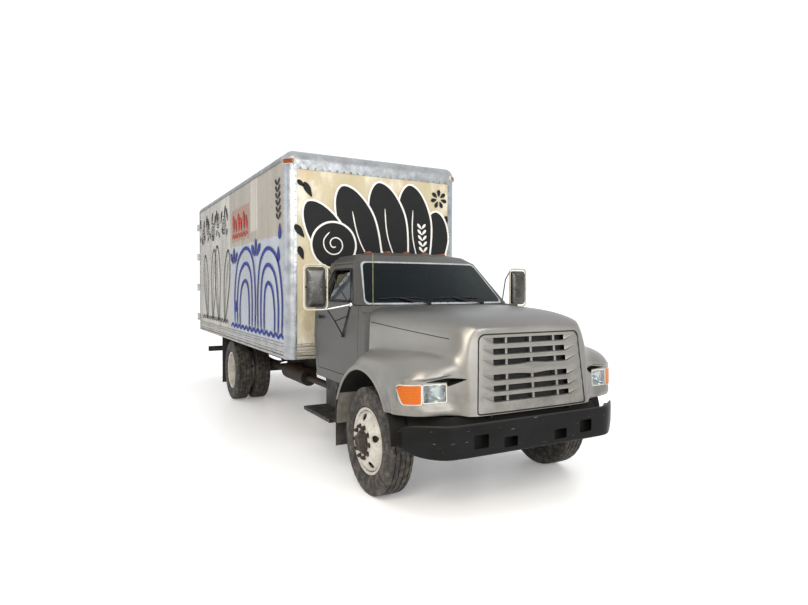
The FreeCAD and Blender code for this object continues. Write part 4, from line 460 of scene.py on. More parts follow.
def prism(name, outline, y_low, y_high, radii=None):
    """A solid whose front view is an outline of (x, z) points in mm, anticlockwise, its corners rounded."""
    points = rounded(outline, radii)
    n = len(points)
    verts = [(p.x, y_low, p.y) for p in points] + [(p.x, y_high, p.y) for p in points]
    faces = [list(range(n)), list(range(2 * n - 1, n - 1, -1))]
    faces += [[k, k + n, (k + 1) % n + n, (k + 1) % n] for k in range(n)]
    return faces_out(mesh_object(name, verts, faces))


def joined(name, *pieces):
    """Several objects joined as one, under a name."""
    deselect_all()
    for piece in pieces:
        piece.select_set(True)
    bpy.context.view_layer.objects.active = pieces[0]
    bpy.ops.object.join()
    pieces[0].name = name
    return pieces[0]


def oval(middle, half_width, half_height, count):
    """Points round an oval, anticlockwise from its right end."""
    turns = [2 * math.pi * k / count for k in range(count)]
    return [(middle[0] + half_width * math.cos(t), middle[1] + half_height * math.sin(t)) for t in turns]


def mirrored_half(obj):
    """Adds the other side of the truck to a piece."""
    return use_modifier(obj, "MIRROR", merge_threshold=0.0001)


def cut_by(obj, tool, operation="DIFFERENCE"):
    """Cuts an object by a solid, which is used up."""
    use_modifier(obj, "BOOLEAN", object=tool, operation=operation, solver="EXACT")
    bpy.data.objects.remove(tool)
    return obj


SIDES = ((1, "left"), (-1, "right"))
GRILLE_OUTLINE = ((-599, 857), (599, 857), (551, 1507), (-551, 1507))
GRILLE_RADII = (26, 26, 66, 66)
HEADLAMP_OUTLINE = ((816, 966), (1019, 966), (1019, 1112), (816, 1112))
TURN_OUTLINE = ((1010, 957), (1166, 957), (1192, 1012), (1222, 1110), (1010, 1112))
TURN_RADII = (14, 34, 60, 26, 14)
TURN_PIVOT, TURN_ANGLE = (1108, -757), 35
SCOOP_OUTLINE = ((655, 1150), (806, 1088), (812, 1122), (1012, 1131), (820, 1158))
SCOOP_RADII = (4, 6, 0, 2, 10)
LAMP_DEPTH = (FRONT_AXLE_Y - 960, FRONT_AXLE_Y - 560)


def grown(outline, by):
    """An outline's points moved away from its middle in both directions by a little, or towards it."""
    middle = [sum(values) / len(outline) for values in zip(*outline)]
    return [tuple(v + math.copysign(1, v - m) * by for v, m in zip(p, middle)) for p in outline]


def turn_space(name, by):
    """The block that cuts the turn signal's opening, which faces outwards as the corner of the fender does."""
    radii = [max(r + by, 3) for r in TURN_RADII]
    pivot_y = FRONT_AXLE_Y + TURN_PIVOT[1]
    made = prism(name, grown(TURN_OUTLINE, by), pivot_y - 250, pivot_y + 50, radii)
    pivot = Matrix.Translation(Vector((TURN_PIVOT[0], pivot_y, 0)) / 1000)
    made.data.transform(pivot @ Matrix.Rotation(math.radians(TURN_ANGLE), 4, "Z") @ pivot.inverted())
    return made


lamp_skin = copy_of(hood_skin, "lamp_skin")
delete_faces(lamp_skin, lambda p: p.x > 0.79 and 0.93 < p.z < 1.16 and p.y < -4.05)
nose_tree = BVHTree.FromObject(hood_skin, bpy.context.evaluated_depsgraph_get())


def on_skin(x, z, sink=0):
    """The place on the hood's skin in front of which (x, z) lies, set back by a little."""
    for lift in (0, 15, 30):
        hit = nose_tree.ray_cast(Vector((x / 1000, -6, (z + lift) / 1000)), Vector((0, 1, 0)))[0]
        if hit and hit.y < -4.1:
            return (x, hit.y * 1000 + sink, z)
    return (x, FRONT_AXLE_Y + nose_front_y(z) + 25 + sink, z)


thicken(hood_skin, 0.008, -1)
openings = [prism("grille_opening", GRILLE_OUTLINE, FRONT_AXLE_Y - 1100, FRONT_AXLE_Y - 820, GRILLE_RADII),
            mirrored_half(prism("headlamp_opening", HEADLAMP_OUTLINE, *LAMP_DEPTH, (16,) * 4)),
            mirrored_half(prism("scoop_opening", SCOOP_OUTLINE, *LAMP_DEPTH, SCOOP_RADII)),
            mirrored_half(turn_space("turn_opening", 0))]
for opening in openings:
    cut_by(hood_skin, opening)
smooth_by_angle(hood_skin, 32)
dressed(hood_skin, silver_enamel, "hood", "hood")


def flipped(piece):
    """Turns a piece made for the left side over for the right one."""
    piece.data.transform(Matrix.Diagonal((-1, 1, 1, 1)))
    piece.data.flip_normals()
    return piece


def skin_ring(name, outer, inner, sink, material, slot, thickness=0.004, place=on_skin, body="hood"):
    """A ring between two outlines with as many points, laid on the hood's skin or on another surface."""
    rows = []
    for ring in (outer, inner):
        row = []
        for k, p in enumerate(ring):
            q = ring[(k + 1) % len(ring)]
            count = max(1, round((Vector(outer[(k + 1) % len(outer)]) - Vector(outer[k])).length / 45))
            for i in range(count):
                row.append(place(p[0] + (q[0] - p[0]) * i / count, p[1] + (q[1] - p[1]) * i / count, sink))
        rows.append(row + row[:1])
    made = faces_out(skinned(name, rows), 0.00005)
    thicken(made, thickness)
    bevel(made, 0.0012, 2, 50)
    smooth_by_angle(made, 40)
    return dressed(made, material, body)


# Black rubber for the seals round the grille and the windows; the same black makes the brow cups and the styling lines,
# as painted shade.
black_rubber_and_shade = finish("black_seal_rubber_and_painted_shade", ("0c0c0c", "141414", "1c1b1a"), 0.08, (0.6, 0.8), 0, 0.002, 0.0001,
                      Specular_IOR_Level=0.3)
skin_ring("grille_seal", rounded(grown(GRILLE_OUTLINE, 2.5), GRILLE_RADII),
          rounded(grown(GRILLE_OUTLINE, -9), (20, 20, 60, 60)), 0.6, black_rubber_and_shade, "dark_trim")

# Brow hollows: a black cup, pushed in behind the opening under each brow, as painted shade. It makes the hollow
# a sharp dark wedge.
rim = [Vector(p) for p in rounded(SCOOP_OUTLINE, SCOOP_RADII)]
middle = sum(rim, Vector((0, 0))) / len(rim)
wall = [[on_skin(p.x, p.y, 2) for p in rim],
        [(middle.x + (p.x - middle.x) * 0.9, FRONT_AXLE_Y - 790, middle.y + (p.y - middle.y) * 0.8) for p in rim]]
cup = Cage()
cup.skin([row + row[:1] for row in wall])
cup.faces.append([cup.at(p) for p in wall[1]])
for sign, label in SIDES:
    painted_shade_cup = mesh_object("brow_shade_cup_" + label, [(x * sign, y, z) for x, y, z in cup.points], cup.faces)
    thicken(painted_shade_cup, 0.003)
    dressed(painted_shade_cup, black_rubber_and_shade, "hood")

# Styling line: a narrow black strip laid on the hood's skin, as painted shade of a crease. It runs forward along
# each side of the hood and dips towards the nose.
CREASE_SHADE_PATH = ((245, 1557), (60, 1541), (-200, 1516), (-480, 1490), (-748, 1463))
for sign, label in SIDES:
    rows = []
    for k in range(33):
        near, far = CREASE_SHADE_PATH[min(k // 8, 3)], CREASE_SHADE_PATH[min(k // 8, 3) + 1]
        share = k / 8 - min(k // 8, 3)
        y, z = near[0] + (far[0] - near[0]) * share, near[1] + (far[1] - near[1]) * share
        row = []
        for across in (-3.5, 3.5):
            start = Vector((sign * 2, (FRONT_AXLE_Y + y) / 1000, (z + across) / 1000))
            hit = nose_tree.ray_cast(start, Vector((-sign, 0, 0)))[0]
            row.append((hit.x * 1000 + sign * 0.5, FRONT_AXLE_Y + y, z + across))
        rows.append(row)
    crease_shade_line = skinned("hood_groove_" + label, rows)
    thicken(crease_shade_line, 0.001)
    smooth_by_angle(crease_shade_line, 40)
    dressed(crease_shade_line, black_rubber_and_shade, "hood")

# Lamps: square headlamps of clear fluted glass over a bright dish with one bulb, and amber turn signals that
# wrap round the corners of the fenders. Each sits in a pale bezel, and the lenses follow the hood's skin.
def ribbed(name, colour, roughness, bands, scale, shades=(), depth=0, strength=1, **values):
    """A moulded material with ribs across an axis, raised by a depth in metres. Given two shades, its colour is painted
    darker in the grooves and lighter on the ribs, as painted shade.
    """
    material, tree, shader = new_material(name, colour, roughness, **values)
    where = add_node(tree, "TexCoord").outputs["Object"]
    ribs = add_node(tree, "TexWave", {"Vector": where, "Scale": scale}, bands_direction=bands).outputs["Fac"]
    if shades:
        shade = add_node(tree, "ValToRGB", {"Fac": ribs}, tuple(zip((0.2, 0.8), shades)))
        tree.links.new(shade.outputs["Color"], shader.inputs["Base Color"])
    if depth:
        raised = add_node(tree, "Bump", {"Height": ribs, "Distance": depth, "Strength": strength})
        tree.links.new(raised.outputs["Normal"], shader.inputs["Normal"])
    return material


lamp_glass = ribbed("fluted_lamp_glass", "e8eeee", 0.12, "X", 22, (), 0.0006, 0.5,
                    Transmission_Weight=1, IOR=1.5)
# the amber lens is painted darker in the grooves of its ribs, as painted shade
amber_plastic = ribbed("amber_lens_plastic", "c06006", 0.16, "Z", 26, ("b45404", "cc6a06"), 0.001, 0.6,
                       Transmission_Weight=0.25, IOR=1.5, Specular_IOR_Level=0.3)
bright_reflector = finish("bright_lamp_reflector", ("b0b5b8", "cdd1d3", "dfe2e3"), 0.08, (0.24, 0.34), 1)
pale_bezel = finish("pale_lamp_bezel", ("a9a69e", "b8b5ad", "c4c1ba"), 0.1, (0.35, 0.5))


def skin_lens(name, node, space, material, lift, thickness=0.005):
    """A lens that follows the hood's skin inside a solid, on both sides of the truck."""
    lens = copy_of(lamp_skin, name)
    thicken(lens, thickness, lift)
    mirrored_half(cut_by(lens, space, "INTERSECT"))
    smooth_by_angle(lens, 35)
    return dressed(lens, material, "hood", node)


skin_lens("turn_signal_lens", "turn_signals", turn_space("turn_lens_space", -4), amber_plastic, 0.6,
          0.007)


def on_corner_skin(x, z, sink=0):
    """The place on the hood's skin behind a point of the turn signal's turned outline."""
    c, s = math.cos(math.radians(TURN_ANGLE)), math.sin(math.radians(TURN_ANGLE))
    u = x - TURN_PIVOT[0]
    start = Vector((TURN_PIVOT[0] + u * c + 400 * s, FRONT_AXLE_Y + TURN_PIVOT[1] + u * s - 400 * c, z)) / 1000
    hit = nose_tree.ray_cast(start, Vector((-s, c, 0)))[0]
    return (hit.x * 1000 - s * sink, hit.y * 1000 + c * sink, z)


for name, outline, radii, place in (("headlamp_bezel", HEADLAMP_OUTLINE, (16,) * 4, on_skin),
                                    ("turn_signal_bezel", TURN_OUTLINE, TURN_RADII, on_corner_skin)):
    rings = [rounded(grown(outline, by), [max(r + by, 3) for r in radii]) for by in (4, -5)]
    for sign, label in SIDES:
        bezel = skin_ring(f"{name}_{label}", *rings, -0.8, pale_bezel, "grille_paint", 0.005, place)
        if sign < 0:
            flipped(bezel)
glass_space = prism("glass_space", grown(HEADLAMP_OUTLINE, -4), *LAMP_DEPTH, (12,) * 4)
skin_lens("headlamp_glass", "headlamps", glass_space, lamp_glass, 0.1)


def dish(name, outline, levels, material, place, body="hood"):
    """A smooth bowl or dome: an outline drawn in towards its middle, each time at another height."""
    middle = sum((Vector(p) for p in outline), Vector((0, 0))) / len(outline)
    cage = Cage()
    rows = [[place(middle.x + (p[0] - middle.x) * s, middle.y + (p[1] - middle.y) * s, h) for p in outline]
            for s, h in levels]
    cage.skin([row + row[:1] for row in rows])
    cage.faces.append([cage.at(p) for p in rows[-1]])
    made = smooth_by_angle(faces_out(mesh_object(name, cage.points, cage.faces)), 50)
    if body:
        return dressed(made, material, body)
    made.data.materials.append(material)
    return made


REFLECTOR = ((1, 8), (0.97, 30), (0.85, 48), (0.66, 66), (0.45, 80), (0.25, 88), (0.16, 90))
BULB = ((1, 88), (1, 42), (0.8, 34), (0.3, 30))
POCKET_OUTLINE = ((-86, 972), (96, 972), (104, 1098), (-86, 1098))
POCKET = ((1.06, -2), (1, 26), (0.8, 34), (0.4, 38), (0.1, 39))
for sign, label in SIDES:
    def in_lamp(x, z, h):
        return (sign * x, on_skin(x, z)[1] + h if h == REFLECTOR[0][1] else FRONT_AXLE_Y - 825 + h, z)

    def in_corner(u, z, h):
        c, d = math.cos(math.radians(TURN_ANGLE)), math.sin(math.radians(TURN_ANGLE))
        return (sign * (TURN_PIVOT[0] + u * c - h * d), FRONT_AXLE_Y + TURN_PIVOT[1] + u * d + h * c, z)

    dish("headlamp_reflector_" + label, rounded(grown(HEADLAMP_OUTLINE, -4), (14,) * 4), REFLECTOR,
         bright_reflector, in_lamp)
    dish("headlamp_bulb_" + label, oval((918, 1039), 15, 15, 16), BULB, pale_bezel, in_lamp)
    dish("turn_signal_pocket_" + label, rounded(POCKET_OUTLINE, (20,) * 4), POCKET, bright_reflector,
         in_corner)
bpy.data.objects.remove(lamp_skin)

# Grille: a moulded panel in the body's colour, screwed into the nose. Six rows of slots lie at the bottom of
# funnels that run out to points at both ends, and the bar in the middle swells where a badge would sit.
SLOT_LEVELS = (972, 1056, 1146, 1268, 1357, 1448)
SLOT_HALF, SLOT_END, FUNNEL_END, FUNNEL_DEPTH, DIVIDER_DEPTH = 26, 390, 512, 20, 12
GRILLE_XS = (0, 11, 12, 40, 70, 100, 135, 180, 215, 250, 251, 273, 274, 330, 390, 405, 435, 470, 512, 545, 590)
OPEN_SPANS = ((12, 250), (274, 390))


def bulge(x):
    """How far the middle bar swells at a distance from the middle, up to 1."""
    return math.exp(-(x / 105) ** 2)


def grille_rows():
    """Rows of (height, depth) up the panel for each distance from its middle."""
    rows = []
    for x in GRILLE_XS:
        past = min(max((x - SLOT_END) / (FUNNEL_END - SLOT_END), 0), 1)
        behind_divider = x <= 11 or 251 <= x <= 273
        depth = (DIVIDER_DEPTH if behind_divider else FUNNEL_DEPTH) * (1 - past)
        column = [(852, 0), (900, -2 if x < SLOT_END else 0)]
        for k, z in enumerate(SLOT_LEVELS):
            swell_low, swell_high = (12 * bulge(x) if k == row else 0 for row in (3, 2))
            foot = z - SLOT_HALF + swell_low + (2 * SLOT_HALF - swell_low) * past
            head = z + SLOT_HALF - swell_high
            column += [(foot, 0), (foot + 6 * (1 - past), depth), (head - 3 * (1 - past), depth), (head, 0)]
            if k < 5:
                next_foot = SLOT_LEVELS[k + 1] - SLOT_HALF + swell_high + (2 * SLOT_HALF - swell_high) * past
                column.append(((head + next_foot) / 2, -4 - (16 * bulge(x) if k == 2 else 0)))
        column += [(1490, 0), (1512, 0)]
        rows.append(column)
    return rows


def on_nose(x, z, depth):
    """A place on the nose's front, set back by a depth in mm."""
    return on_skin(x * (1 + 0.085 * (1500 - z) / 650), z, 3 + depth)


panel = Cage()
columns = [[on_nose(x, z, depth) for z, depth in column] for x, column in zip(GRILLE_XS, grille_rows())]
for k, (near, far) in enumerate(zip(columns, columns[1:])):
    opened = any(low <= GRILLE_XS[k] and GRILLE_XS[k + 1] <= high for low, high in OPEN_SPANS)
    for i in range(len(near) - 1):
        if opened and i >= 2 and (i - 2) % 5 == 1 and i < 32:
            continue
        quad = []
        for p in (near[i], far[i], far[i + 1], near[i + 1]):
            if panel.at(p) not in quad:
                quad.append(panel.at(p))
        if len(quad) > 2:
            panel.faces.append(quad)
grille_panel = mirrored_half(mesh_object("grille_panel", panel.points, panel.faces))
thicken(grille_panel, 0.004, -1)
bevel(grille_panel, 0.0016, 2, 30)
cut_by(grille_panel, prism("grille_space", grown(GRILLE_OUTLINE, -10), FRONT_AXLE_Y - 1100, FRONT_AXLE_Y - 820,
                           (20, 20, 60, 60)), "INTERSECT")
smooth_by_angle(grille_panel, 35)
dressed(grille_panel, silver_enamel, "hood", "grille")

# Slot shade: a black sheet across the opening of the nose behind the grille's slots, as painted shade that keeps
# the slots dark. A bump gives it the weave of wire cloth.
slot_shade_wire, tree, shader = new_material("insect_screen_wire", "0b0c0c", 0.7)
where = add_node(tree, "TexCoord").outputs["Object"]
weave = add_node(tree, "TexVoronoi", {"Vector": where, "Scale": 1 / 0.006}, feature="DISTANCE_TO_EDGE")
raised = add_node(tree, "Bump", {"Height": weave.outputs["Distance"], "Distance": 0.002})
tree.links.new(raised.outputs["Normal"], shader.inputs["Normal"])
insect_screen = skinned("insect_screen", [
    [(x, FRONT_AXLE_Y + nose_front_y(z) + 62 + 30 * (abs(x) / 580) ** 2, z)
     for x in (-580, -400, -200, 0, 200, 400, 580)] for z in (866, 1000, 1180, 1360, 1505)])
thicken(insect_screen, 0.003)
dressed(insect_screen, slot_shade_wire, "hood")

# Front bumper: a pressed steel channel with swept ends, painted black over old scuffs, bolted to the frame
# by two horns. Its top edge is painted a lighter grey, as painted highlight. Two square tow holes and two lower
# slots are cut in its face.
BUMPER_FACE_Y = FRONT_AXLE_Y - 1005
BUMPER_MIDDLE_Z = 650
BUMPER_PROFILE = ((84, 762), (58, 764), (38, 774), (23, 795), (14, 805), (5, 799), (0, 780), (0, BUMPER_MIDDLE_Z),
                  (0, 552), (3, 536), (14, 527), (40, 522), (84, 524))
BUMPER_PATH = ((0, 0, 0, 0), (200, 0, 0, 0), (420, 0, 0, 0), (640, 1, 0, 0), (790, 4, 0, 0), (850, 11, 0, 0),
               (905, 33, 0, 0), (960, 72, 2, 0), (1040, 134, 12, -2), (1110, 190, 38, -5), (1155, 226, 66, -12),
               (1176, 246, 88, -26))
bumper = faces_out(skinned("front_bumper_channel", [
    [(x, BUMPER_FACE_Y + back + y, z + (rise if z < BUMPER_MIDDLE_Z else drop if z > BUMPER_MIDDLE_Z else 0))
     for y, z in BUMPER_PROFILE] for x, back, rise, drop in BUMPER_PATH]))
if min(bumper.data.polygons, key=lambda p: p.center.y).normal.y > 0:
    bumper.data.flip_normals()
mirrored_half(bumper)
use_modifier(bumper, "SUBSURF", levels=2, render_levels=2)
thicken(bumper, 0.008, -1)
TOW_HOLE = ((506, 596), (650, 596), (650, 706), (506, 706))
TOW_SLOT = ((204, 572), (346, 572), (346, 658), (204, 658))
holes = [mirrored_half(prism("tow_cut", outline, BUMPER_FACE_Y - 50, BUMPER_FACE_Y + 60, (10,) * 4))
         for outline in (TOW_HOLE, TOW_SLOT)]
cut_by(bumper, joined("bumper_cuts", *holes))
smooth_by_angle(bumper, 35)
bumper_enamel = finish(
    "bumper_enamel", ("090a0a", "0f1010", "161718"), 0.35, (0.36, 0.62), 0, 0.004, 0.0003, stretch=(1, 1, 2.5),
    Specular_IOR_Level=0.12, marks=(("8d8e8c", 0.045, 0.66, 0.7, 0.5, None, (0.4, 1, 3)),
                                     # the lighter grey over the top edge is painted highlight
                                     ("4d4c48", 0.3, 0.1, 0.3, 0.5, (0.785, 0.81), EVEN)))
dressed(bumper, bumper_enamel, "truck", "front_bumper")

# Apron: a black sheet behind the bumper and under the nose, as painted shade. It closes the bumper's
# channel, so the tow holes are dark, and hides the gap below the hood.
shade_sheet_front = skinned("front_shade_sheet", [[(x, FRONT_AXLE_Y + y + max(abs(x) - 790, 0) * 1.2, z)
                                 for y, z in ((-912, 530), (-914, 772), (-895, 800), (-872, 842))]
                                for x in (-1040, -910, -790, -600, -300, 0, 300, 600, 790, 910, 1040)])
thicken(shade_sheet_front, 0.003)
apron_paint = finish("underbody_black", ("0a0a0a", "121110", "1e1c19"), 0.2, (0.7, 0.9), 0, 0.004, 0.0003,
                     Specular_IOR_Level=0.25)
dressed(shade_sheet_front, apron_paint, "truck")

# Wheel arch liners: sheets of black moulded plastic screwed inside the fenders, with a grey splash panel at the
# rear of each arch and a corrugated shield between each arch and the nose.
for sign, label in SIDES:
    shield = skinned("arch_shield_" + label, [
        [((745 + 6 * math.sin(z / 30)) * sign, FRONT_AXLE_Y + y, z) for z in range(600, 1001, 25)]
        for y in (-846, -740, -640, -548)])
    thicken(shield, 0.003)
    smooth_by_angle(shield, 40)
    dressed(shield, apron_paint, "hood")
    for name, angles, radius, xs, material in (
            ("arch_liner", range(24, 181, 12), 578, (760, 800, 1000, 1100, 1196), apron_paint),
            ("arch_splash_panel", range(-4, 29, 8), 574, (860, 900, 1050, 1150, 1193), None)):
        liner = skinned(f"{name}_{label}", [on_front_axle([(x * sign, *on_arch(a, x, radius)[1:]) for x in xs])
                                            for a in angles])
        thicken(liner, 0.003)
        smooth_by_angle(liner, 40)
        material = material or finish("grey_splash_paint_" + label, ("57554f", "6b6963", "7a7872"), 0.1,
                                      (0.5, 0.75), 0, 0.004, 0.0002)
        dressed(liner, material, "hood")

# Tyres: ribbed truck tyres of black rubber, browned by dust. Each is turned from one outline, and the edges of
# the tread's grooves step from side to side round the tyre.
TYRE_SIDE = ((-90, 290), (-96, 303), (-106, 309), (-115, 318), (-119, 324), (-117, 329),
             (-121, 345), (-126, 366), (-127.5, 385), (-127, 402), (-124.5, 418), (-125.5, 422),
             (-122, 438), (-118, 452), (-113, 465), (-109, 473), (-106, 480, 1), (-101, 487, 1))
TYRE_CROWN = ((-78, 488.6, 2), (-75, 477, 2), (-68, 477, 2), (-65, 489, 2), (-32, 489.6, -2), (-29, 477, -2),
              (-22, 477, -2), (-19, 490, -2))
WHEEL_PLACES = {"front": (1010, FRONT_AXLE_Y), "rear": (760, 1709.5), "outer": (1070, 1709.5)}
AXLE_Z = 490


def turned_ring(name, outline, steps, closed=True):
    """A body turned round the Y axis from rows in mm: the place along it, the radius and a step to and fro, if any."""
    points, faces, count = [], [], len(outline)
    for k in range(steps):
        angle, to_and_fro = 2 * math.pi * k / steps, 1 if k % 4 < 2 else -1
        for along, radius, *step in outline:
            points.append((radius * math.sin(angle), along + sum(step) * to_and_fro, radius * math.cos(angle)))
    for k in range(steps):
        near, far = k * count, (k + 1) % steps * count
        for i in range(count if closed else count - 1):
            j = (i + 1) % count
            faces.append((near + i, near + j, far + j, far + i))
    return faces_out(mesh_object(name, points, faces))


def placed(obj, name, x, y, z, turn):
    """A copy of a piece modelled at the origin, turned about Z and moved to its place, all in its mesh."""
    made = copy_of(obj, name)
    place = Matrix.Translation(Vector((x, y, z)) / 1000)
    made.data.transform(place @ Matrix.Rotation(math.radians(turn), 4, "Z"))
    return made


half_tyre = [*TYRE_SIDE, *TYRE_CROWN]
tyre_pattern = turned_ring("tyre_pattern", half_tyre + [(-along, *rest) for along, *rest in reversed(half_tyre)], 144)
smooth_by_angle(tyre_pattern, 28)
tyre_rubber = finish("road_tyre_rubber", ("181818", "222120", "2d2b27"), 0.16, (0.72, 0.92), 0, 0.003, 0.0003,
                     marks=(("6a6155", 0.05, 0.45, 0.72, 0.6, None, EVEN),
                            ("847a6b", 0.2, 0.5, 0.8, 0.35, None, EVEN)))
tyre_pattern.data.materials.append(tyre_rubber)

# Disc wheels: pressed and rolled steel, painted white by hand over old enamel, with rust where stones have
# chipped the lip and the edges of the five hand holes.
BARREL = ((-107, 296), (-105, 303), (-99, 302), (-96, 296), (-94, 287), (-60, 284), (-30, 270),
          (30, 270), (60, 284), (94, 287), (96, 296), (99, 302), (105, 303), (107, 296),
          (103, 284), (96, 277), (66, 275), (30, 262), (-30, 262), (-66, 275), (-96, 277),
          (-103, 284))
DISC = ((-66, 275), (-78, 274), (-92, 270), (-108, 261), (-122, 248), (-134, 230), (-143, 210),
        (-150, 192), (-154, 178), (-155, 168), (-155, 112), (-144, 112), (-144, 168),
        (-139, 190), (-132, 208), (-123, 226), (-111, 242), (-98, 253), (-82, 262), (-66, 264))
disc = turned_ring("disc_pattern", DISC, 120)
for k in range(5):
    middle = Matrix.Rotation(math.radians(72 * k), 3, "Y") @ Vector((0, 0, 222))
    cut_by(disc, prism("hand_hole", oval((middle.x, middle.z), 36, 31, 24), -200, -60))
bevel(disc, 0.0025, 2, 50)
wheel_pattern = joined("wheel_pattern", turned_ring("barrel_pattern", BARREL, 96), disc)
smooth_by_angle(wheel_pattern, 35)
wheel_enamel = finish("white_wheel_enamel", ("a39e94", "b4b0a7", "c4c1ba"), 0.09, (0.35, 0.6), 0, 0.004, 0.0002,
                      marks=(("8b8377", 0.07, 0.52, 0.74, 0.7, None, EVEN),
                             ("7c4a2c", 0.02, 0.62, 0.68, 0.9, None, EVEN),
                             ("54483c", 0.035, 0.6, 0.7, 0.75, None, EVEN)))
wheel_pattern.data.materials.append(wheel_enamel)

# Hubs: cast iron, black with grease, with a pressed cap over the bearing. Behind each is its brake drum, and ten
# wheel nuts gone brown with rust hold the wheel.
HUB = ((-120, 40), (-120, 111), (-155, 111), (-158, 108), (-159, 96), (-163, 92), (-180, 88),
       (-188, 82), (-190, 70), (-193, 66), (-204, 62), (-208, 55), (-208, 30), (-205, 26),
       (-205, 1), (-120, 1))
DRUM = ((-126, 60), (-126, 172), (-100, 206), (-96, 212), (4, 212), (4, 194), (-88, 194), (-100, 60))
hub = joined("hub_pattern", turned_ring("hub_turned", HUB, 64), turned_ring("drum_turned", DRUM, 64))
bevel(hub, 0.002, 2, 35)
nut = joined("wheel_nut", prism("nut_hex", oval((0, 0), 18, 18, 6), -180, -158),
             turned_ring("nut_collar", ((-160, 23), (-155, 25), (-150, 25), (-150, 5), (-160, 5)), 20),
             turned_ring("stud_end", ((-194, 8), (-192, 10), (-160, 10), (-160, 0.5), (-194, 0.5)), 12))
bevel(nut, 0.0018, 1, 40)
nuts = []
for k in range(10):
    offset = Matrix.Rotation(math.radians(36 * k + 18), 3, "Y") @ Vector((0, 0, 141))
    nuts.append(placed(nut, "wheel_nut_%d" % k, *offset, 0))
nut_ring = joined("nut_ring_pattern", *nuts)
bpy.data.objects.remove(nut)
smooth_by_angle(hub, 35)
hub_iron = finish("greasy_cast_iron", ("16140f", "231f1a", "332b22"), 0.05, (0.45, 0.8), 0.2, 0.003, 0.0004,
                  marks=(("5d3a22", 0.03, 0.52, 0.66, 0.8, None, EVEN),))
nut_rust = finish("rusted_nut_steel", ("1e1a17", "3c342c", "6a6154"), 0.02, (0.7, 0.95), 0.3, 0.0015, 0.0003)
hub.data.materials.append(hub_iron)
nut_ring.data.materials.append(nut_rust)
for side, sign, turn in (("right", -1, -90), ("left", 1, 90)):
    # Each end of the truck: its wheels and how they are turned, the ending of their names, how far its hubs stand out.
    for end, spots, plural, out in (("front", (("front", turn),), "", 0),
                                    ("rear", (("rear", turn), ("outer", turn + 180)), "s", 12)):
        body = f"wheel{plural}_{end}_{side}"
        for pattern, label, slot_name, node in ((tyre_pattern, "tyre", "tyre_rubber", "tyre"),
                                                (wheel_pattern, "disc_wheel", "wheel_paint", "rim")):
            parts = [placed(pattern, f"{label}_{end}_{side}_{spot}", sign * WHEEL_PLACES[spot][0],
                            WHEEL_PLACES[spot][1], AXLE_Z, spin) for spot, spin in spots]
            dressed(joined(f"{label}_{end}_{side}", *parts), None, body, f"{node}{plural}_{end}_{side}")
        x, y = WHEEL_PLACES[end]
        for pattern, label in ((hub, "hub"), (nut_ring, "wheel_nuts")):
            piece = placed(pattern, f"{label}_{end}_{side}", sign * (x + out), y, AXLE_Z, turn)
            dressed(piece, None, body)
for pattern in (tyre_pattern, wheel_pattern, hub, nut_ring):
    bpy.data.objects.remove(pattern)

# Van body: sheet aluminium over posts, painted cream on the front and off-white on the sides. Rain has washed
# stains down it in streaks, and squares of other tints are left where old marks were painted over.
panel_cream = finish("cream_van_paint", ("a89c7a", "b8ad8f", "c3bba3"), 0.45, (0.4, 0.6), 0, 0.01, 0.0002,
                     stretch=(1, 1, 0.35),
                     marks=(("b08a5c", 0.5, 0.5, 0.68, 0.5, None, (1, 1, 0.5)),
                            ("efece2", 0.6, 0.5, 0.62, 0.6, None, (1, 1, 0.6)),
                            ("8f7f63", 0.07, 0.56, 0.74, 0.5, (1.75, 1.1), (1, 1, 0.25))))
coat(panel_cream, "box_front_wall")
side_paint, tree, shader = new_material("off_white_van_paint", "c9c6bd", 0.5)
where = add_node(tree, "TexCoord").outputs["Object"]
tall = add_node(tree, "Mapping", {"Vector": where, "Scale": (1, 1, 0.22)}).outputs[0]
wash = add_node(tree, "TexNoise", {"Vector": tall, "Scale": 3.2, "Detail": 8, "Roughness": 0.62})
colour = add_node(tree, "ValToRGB", {"Fac": wash.outputs["Fac"]},
                  ((0.32, "918e86"), (0.5, "aeaba3"), (0.68, "c0bdb6"))).outputs["Color"]
drift = add_node(tree, "TexNoise", {"Vector": where, "Scale": 9, "Detail": 6})
sway = add_node(tree, "Mapping", {"Vector": drift.outputs["Color"], "Location": (-0.04,) * 3, "Scale": (0.08,) * 3})
ragged = add_node(tree, "VectorMath", {0: where, 1: sway.outputs[0]}, operation="ADD").outputs[0]
split = add_node(tree, "SeparateXYZ", {"Vector": ragged})
# Each patch: its colour, its span along the truck and in height in metres, and how far it covers.
for code, y_low, y_high, z_low, z_high, most in (
        ("877e70", -1.5, 1.62, 2.54, 3.6, 0.66), ("98a3b4", -1.5, 1.62, 1.0, 2.54, 0.7),
        ("8c6048", 0.34, 1.5, 2.62, 3.14, 0.75), ("b9b4aa", -0.1, 0.28, 2.7, 3.6, 0.75),
        ("8f8c86", 3.3, 4.6, 2.4, 3.6, 0.35)):
    cover = most
    for axis, low, high in (("Y", y_low, y_high), ("Z", z_low, z_high)):
        for edge, sign in ((low, 1), (high, -1)):
            inside = add_node(tree, "MapRange", {"Value": split.outputs[axis], "From Min": edge - 0.015 * sign,
                                                 "From Max": edge + 0.015 * sign}).outputs[0]
            cover = add_node(tree, "Math", {0: inside, 1: cover}, operation="MULTIPLY").outputs[0]
    colour = add_node(tree, "Mix", {"Factor": cover, "A": colour, "B": linear(code)},
                      data_type="RGBA").outputs["Result"]
